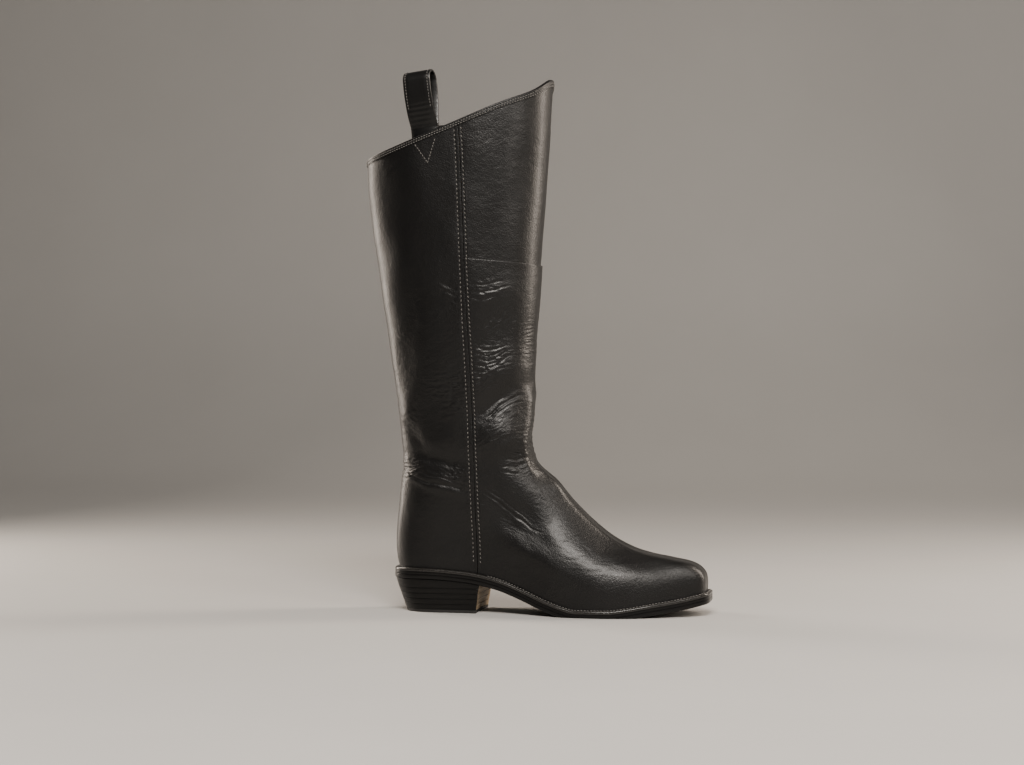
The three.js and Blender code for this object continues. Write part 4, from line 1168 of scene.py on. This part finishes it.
def sole_disc(name, degs, edge, node):
    """A full layer: rings of its edge profile, and both faces filled by drawing each outline
    point in to a spine along the middle, so that the faces follow the seat's line."""
    shares_in = (0.001, 0.15, 0.35, 0.55, 0.75, 0.92)
    rings = [sole_ring_points(degs, *e) for e in edge]
    spine_x = np.clip(rings[0][:, 0], SOLE_SPINE_X[0], SOLE_SPINE_X[-1])
    spine = spine_x, np.interp(spine_x, SOLE_SPINE_X, SOLE_SPINE_Y)
    grid = np.stack([sole_face(rings[0], spine, edge[0][1], t) for t in shares_in] + rings
                    + [sole_face(rings[-1], spine, edge[-1][1], t) for t in shares_in[::-1]])
    rows, cols = grid.shape[:2]
    faces = grid_quads(rows, cols, wrap=True).tolist()
    half = cols // 2
    for base in (0, (rows - 1) * cols):
        strip = [[base + i, base + i + 1, base + (cols - i - 1) % cols, base + (cols - i) % cols]
                 for i in range(1, half - 1)]
        strip += [[base, base + 1, base + cols - 1], [base + half - 1, base + half, base + half + 1]]
        faces += strip if base == 0 else [s[::-1] for s in strip]
    closed_piece(name, grid, faces, MATERIALS["burnished sole edge"], node)


def make_sole():
    """Welt, midsole and outsole, each with a dressed edge."""
    degs = sole_columns(520)
    out = WELT_EDGE
    low = -WELT - CLOSE
    welt = [(WELT_INNER, low), (out - 0.25, low), (out - 0.05, low + 0.2), (out, low + 0.5),
            (out, -1.3), (out - 0.12, -0.95), (out - 0.9, -0.08), (out - 1.2, 0),
            (out - 2.3, -0.15), (out - 3.2, 0), (WELT_INNER, 0)]
    grid = np.stack([sole_ring_points(degs, *e) for e in welt])
    closed_piece("welt_leather", grid, looped_quads(grid), MATERIALS["welt with painted highlight"],
                 "welt")
    top, low = -WELT - GAP + CLOSE, -WELT - GAP - MIDSOLE - CLOSE
    mid = [(out - 0.3, low), (out - 0.1, low + 0.15), (out - 0.05, low + 0.5), (out - 0.05, top - 0.5),
           (out - 0.1, top - 0.15), (out - 0.3, top)]
    sole_disc("midsole_leather", degs, mid, "midsole")
    top, low = low - GLUE_LINE, -STACK
    bottom = [(out - 2.2, low), (out - 1.2, low + 0.12), (out - 0.5, low + 0.5), (out - 0.1, low + 1.1),
              (out, low + 1.9), (out, top - 0.5), (out - 0.05, top - 0.15), (out - 0.3, top)]
    sole_disc("outsole_leather", degs, bottom, "outsole")
    ahead = np.sort(degs[(degs > -86) & (degs < 86)])
    path = sole_ring_points(ahead, 2.1, 0.0)
    (points, faces), _ = sewn_row(path, np.tile([0.0, 0.0, 1.0], (len(path), 1)), 3.0, 2.3, 0.4)
    new_object("welt_stitches", points, faces, MATERIALS["black waxed thread"])


def heel_outline(z, inset, count=220):
    """A D at a height: the sole's outline behind the breast and a shallow curve across it, drawn
    in towards the ground, then evenly spaced."""
    t = z / HEEL_HEIGHT
    x, y = outline_ring(wrap(np.linspace(60, 300, 600)), WELT_EDGE - inset)
    keep = x < BREAST_X - inset
    x, y = x[keep], y[keep]
    bow = np.linspace(-1, 1, 60)
    x = np.concatenate([x, BREAST_X - inset - 1.6 * (1 - bow ** 2)])
    y = np.concatenate([y, lerp(y[-1], y[0], (bow + 1) / 2)])
    share = (x - HEEL_BACK) / (BREAST_X - HEEL_BACK)
    x = lerp(lerp(HEEL_BACK_GROUND, HEEL_BACK, t), lerp(BREAST_GROUND, BREAST_X, t), share)
    loop = np.column_stack([x, y * lerp(HEEL_NARROWS, 1, t)])
    closed = np.concatenate([loop, loop[:1]])
    total = running_length(closed)
    return read_off(np.linspace(0, total[-1], count, endpoint=False), total, closed)


def heel_piece(name, low, high, material, node, top=None):
    """One lift: rings of a softly worn edge between two flat faces; the top may follow the sole,
    and the heights between are then spread evenly up to it."""
    edge = [(low, 0.3), (low + 0.1, 0.1), (low + 0.35, 0.0), (low + (high - low) * 0.5, 0.0),
            (high - 0.35, 0.0), (high - 0.1, 0.1), (high, 0.3)]
    rings = []
    for z, inset in edge:
        loop = heel_outline(z, inset)
        height = np.full(len(loop), z)
        if top:
            height = low + (z - low) / (high - low) * (top(loop[:, 0]) - low)
        rings.append(np.column_stack([loop, height]))
    shares_in = (0.02, 0.4, 0.8)
    under = [np.column_stack([rings[0][:, :2] * t, rings[0][:, 2]]) for t in shares_in]
    over = [rings[-1][:, :2] * t for t in shares_in[::-1]]
    over = [np.column_stack([loop, top(loop[:, 0]) if top else np.full(len(loop), rings[-1][0, 2])])
            for loop in over]
    piece = capped_piece(name, np.stack(under + rings + over), material)
    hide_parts(node)
    return piece


def stacked_piece(name, low, high, node, top=None):
    """A leather layer of the heel; its front face is left raw and takes the second material, its colour
    painted paler for the light that falls on it.
    """
    piece = heel_piece(name, low, high, MATERIALS["stacked leather"], node, top)
    piece.data.materials.append(MATERIALS["raw heel breast with painted light"])
    for face in piece.data.polygons:
        if face.normal.x > 0.9:
            face.material_index = 1


def make_heel():
    """Top lift, four leather lifts and the wedge under the sole."""
    heel_piece("top_lift_rubber", 0.0, TOP_LIFT_HEIGHT, MATERIALS["hard black rubber"],
               "top_lift")
    for i, (low, high) in enumerate(LIFT_SPANS, 1):
        stacked_piece(f"heel_lift_{i}_leather", low - CLOSE, high + CLOSE, f"heel_lift_{i}")
    stacked_piece("heel_wedge_leather", WEDGE_BASE - CLOSE, WEDGE_TOP, "heel_wedge",
                  lambda x: seat(x) - STACK - GLUE_LINE)


def dress_inner_pieces():
    """Finishes for the pieces that keep their working shapes."""
    finishes = {"cork_filler": "pressed cork", "shank": "tempered steel", "heel_screw": "tempered steel",
                "toe_puff": "leather board", "heel_counter": "leather board",
                "insole": "insole leather", "sock_liner": "tan lining calf"}
    for node, finish in finishes.items():
        for slot in frame["nodes"][node].material_slots:
            slot.material = MATERIALS[finish]


# ------------------------------------------------------------------ stage
def area_light(name, place, target, size, power, colour):
    """A soft rectangular lamp that faces a point."""
    lamp = bpy.data.lights.new(name, "AREA")
    lamp.shape = "RECTANGLE"
    lamp.size, lamp.size_y = size
    lamp.energy = power
    lamp.color = linear(colour)[:3]
    holder = bpy.data.objects.new(name, lamp)
    bpy.context.scene.collection.objects.link(holder)
    holder.location = place
    holder.rotation_mode = "QUATERNION"
    holder.rotation_quaternion = (Vector(target) - Vector(place)).to_track_quat("-Z", "Y")


MIDDLE = (0.05, 0.0, 0.22)       # where the lamps point, metres
# The lamps: place and size in metres, watts, colour.
LAMPS = {
    "overhead": ((0.35, -1.35, 1.5), (0.9, 0.42), 58, "#fff8f0"),
    "front_rim": ((1.15, 0.5, 0.72), (0.3, 1.1), 22, "#fff0e0"),
    "back_rim": ((-1.05, 0.45, 0.5), (0.3, 1.3), 19, "#fff0e0"),
    "key": ((1.2, -0.9, 0.9), (0.4, 0.8), 9, "#fff6ec"),
}
AIR_COLOUR, AIR_STRENGTH = "#cfcdca", 0.09
# The camera stands this far off the boot's middle, to its left and up, metres.
CAMERA_AWAY, CAMERA_ASIDE, CAMERA_HEIGHT, CAMERA_MIDDLE_X = 2.0, 0.0379, 0.2174, 0.1017
FLOOR_DROP = 0.0002              # the floor lies a hair below the sole
# The floor's line from front to back, then up: y, z in metres.
FLOOR_LINE = [(-3.0, 0.0), (1.2, 0.0), (1.6, 0.05), (1.95, 0.25), (2.15, 0.6), (2.2, 3.0)]


def make_stage(settings):
    """A pale floor that curves up into a backdrop, soft lamps, and the camera."""
    width = np.linspace(-4, 4, 9)
    points = np.array([[x, y, z - FLOOR_DROP] for y, z in FLOOR_LINE for x in width]) / MM
    floor = new_object("studio_floor", points, grid_quads(len(FLOOR_LINE), len(width)).tolist(),
                       plain_surface("matte studio paper", settings.floor_dark, settings.floor_light,
                                     0.7, 400.0, 0.01), body=None, smooth_angle=80)
    bend = floor.modifiers.new("smooth bend", "SUBSURF")
    bend.levels = bend.render_levels = 3
    for name, (place, size, power, colour) in LAMPS.items():
        area_light(name, place, MIDDLE, size, power, colour)
    world = bpy.data.worlds.new("studio air")
    bpy.context.scene.world = world
    world.use_nodes = True
    air = world.node_tree.nodes["Background"]
    air.inputs["Color"].default_value = linear(AIR_COLOUR)
    air.inputs["Strength"].default_value = AIR_STRENGTH
    camera = bpy.data.objects.new("camera", bpy.data.cameras.new("camera"))
    bpy.context.scene.collection.objects.link(camera)
    turn = math.radians(settings.camera_turn)
    camera.location = (
        CAMERA_MIDDLE_X + CAMERA_AWAY * math.sin(turn) - CAMERA_ASIDE * math.cos(turn),
        -CAMERA_AWAY * math.cos(turn) - CAMERA_ASIDE * math.sin(turn), CAMERA_HEIGHT)
    camera.rotation_euler = (math.radians(90), 0, turn)
    camera.data.lens = settings.camera_lens
    camera.data.sensor_width = 36
    bpy.context.scene.camera = camera


# ------------------------------------------------------------------ add-on
class BootLeather(bpy.types.PropertyGroup):
    """Finish of the boot's outer leather."""
    leather_dark: StringProperty(name="Dark tone", description="Darkest colour of the calf",
                                 default="#050505")
    leather_light: StringProperty(name="Light tone", description="Lightest colour of the calf",
                                  default="#0e0d0d")
    leather_roughness: FloatProperty(name="Roughness", description="Shine of the wax finish",
                                     default=0.42, min=0.05, max=1.0)


class BootStraps(bpy.types.PropertyGroup):
    """How the pull straps stand."""
    far_fold: FloatProperty(name="Far strap fold", subtype="ANGLE", default=math.radians(100),
                            description="How far the far strap has flopped into the shaft")


class BootStage(bpy.types.PropertyGroup):
    """Floor, light and camera."""
    floor_dark: StringProperty(name="Floor dark tone", description="Darker colour of the paper",
                               default="#a9a7a4")
    floor_light: StringProperty(name="Floor light tone", description="Lighter colour of the paper",
                                default="#adaba8")
    camera_turn: FloatProperty(name="Camera turn", default=11.0, description="Degrees round from the side")
    camera_lens: FloatProperty(name="Lens", default=75.44, description="Focal length in millimetres")


class BOOT_OT_upper(bpy.types.Operator):
    """Makes the three leather panels of the upper"""
    bl_idname = "boot.upper"
    bl_label = "Upper"

    def execute(self, context):
        make_upper()
        return {"FINISHED"}


class BOOT_OT_linings(bpy.types.Operator):
    """Makes the linings and the stay tapes"""
    bl_idname = "boot.linings"
    bl_label = "Linings"

    def execute(self, context):
        make_linings()
        dress_inner_pieces()
        return {"FINISHED"}


class BOOT_OT_binding(bpy.types.Operator):
    """Makes the binding over the top line"""
    bl_idname = "boot.binding"
    bl_label = "Binding"

    def execute(self, context):
        make_binding()
        return {"FINISHED"}


class BOOT_OT_stitches(bpy.types.Operator):
    """Sews the seams"""
    bl_idname = "boot.stitches"
    bl_label = "Stitches"

    def execute(self, context):
        make_stitches()
        return {"FINISHED"}


class BOOT_OT_straps(bpy.types.Operator):
    """Makes both pull straps"""
    bl_idname = "boot.straps"
    bl_label = "Pull straps"

    def execute(self, context):
        fold = math.degrees(context.scene.boot_straps.far_fold)
        make_strap("near_pull_strap", "near_strap_flop", -1, 0.0, "near_strap",
                   ("near_strap_loop", "near_strap_tail"))
        make_strap("far_pull_strap", "far_strap_flop", 1, fold, "far_strap",
                   ("far_strap_loop", "far_strap_tail"))
        return {"FINISHED"}


class BOOT_OT_sole(bpy.types.Operator):
    """Makes the welt, midsole and outsole"""
    bl_idname = "boot.sole"
    bl_label = "Sole"

    def execute(self, context):
        make_sole()
        return {"FINISHED"}


class BOOT_OT_heel(bpy.types.Operator):
    """Makes the stacked heel"""
    bl_idname = "boot.heel"
    bl_label = "Heel"

    def execute(self, context):
        make_heel()
        return {"FINISHED"}


class BOOT_OT_stage(bpy.types.Operator):
    """Makes the floor, lamps and camera"""
    bl_idname = "boot.stage"
    bl_label = "Stage"

    def execute(self, context):
        make_stage(context.scene.boot_stage)
        return {"FINISHED"}


STEPS = ("upper", "linings", "binding", "stitches", "straps", "sole", "heel", "stage")


class BOOT_PT_maker(bpy.types.Panel):
    """Lists the boot's settings and its pieces"""
    bl_label = "Riding boot"
    bl_idname = "BOOT_PT_maker"
    bl_space_type = "VIEW_3D"
    bl_region_type = "UI"
    bl_category = "Boot"

    def draw(self, context):
        for group in (context.scene.boot_leather, context.scene.boot_straps, context.scene.boot_stage):
            box = self.layout.box()
            for key in group.__annotations__:
                box.prop(group, key)
        for step in STEPS:
            self.layout.operator("boot." + step)


CLASSES = (BootLeather, BootStraps, BootStage, BOOT_OT_upper, BOOT_OT_linings, BOOT_OT_binding,
           BOOT_OT_stitches, BOOT_OT_straps, BOOT_OT_sole, BOOT_OT_heel, BOOT_OT_stage, BOOT_PT_maker)


def register():
    """Registers the classes and their settings."""
    for cls in CLASSES:
        bpy.utils.register_class(cls)
    bpy.types.Scene.boot_leather = PointerProperty(type=BootLeather)
    bpy.types.Scene.boot_straps = PointerProperty(type=BootStraps)
    bpy.types.Scene.boot_stage = PointerProperty(type=BootStage)


def unregister():
    """Takes the settings and classes away again."""
    for name in ("boot_leather", "boot_straps", "boot_stage"):
        delattr(bpy.types.Scene, name)
    for cls in reversed(CLASSES):
        bpy.utils.unregister_class(cls)


def main():
    """Registers the add-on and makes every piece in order."""
    register()
    make_materials(bpy.context.scene.boot_leather)
    for step in STEPS:
        getattr(bpy.ops.boot, step)()


if __name__ == "__main__":
    main()
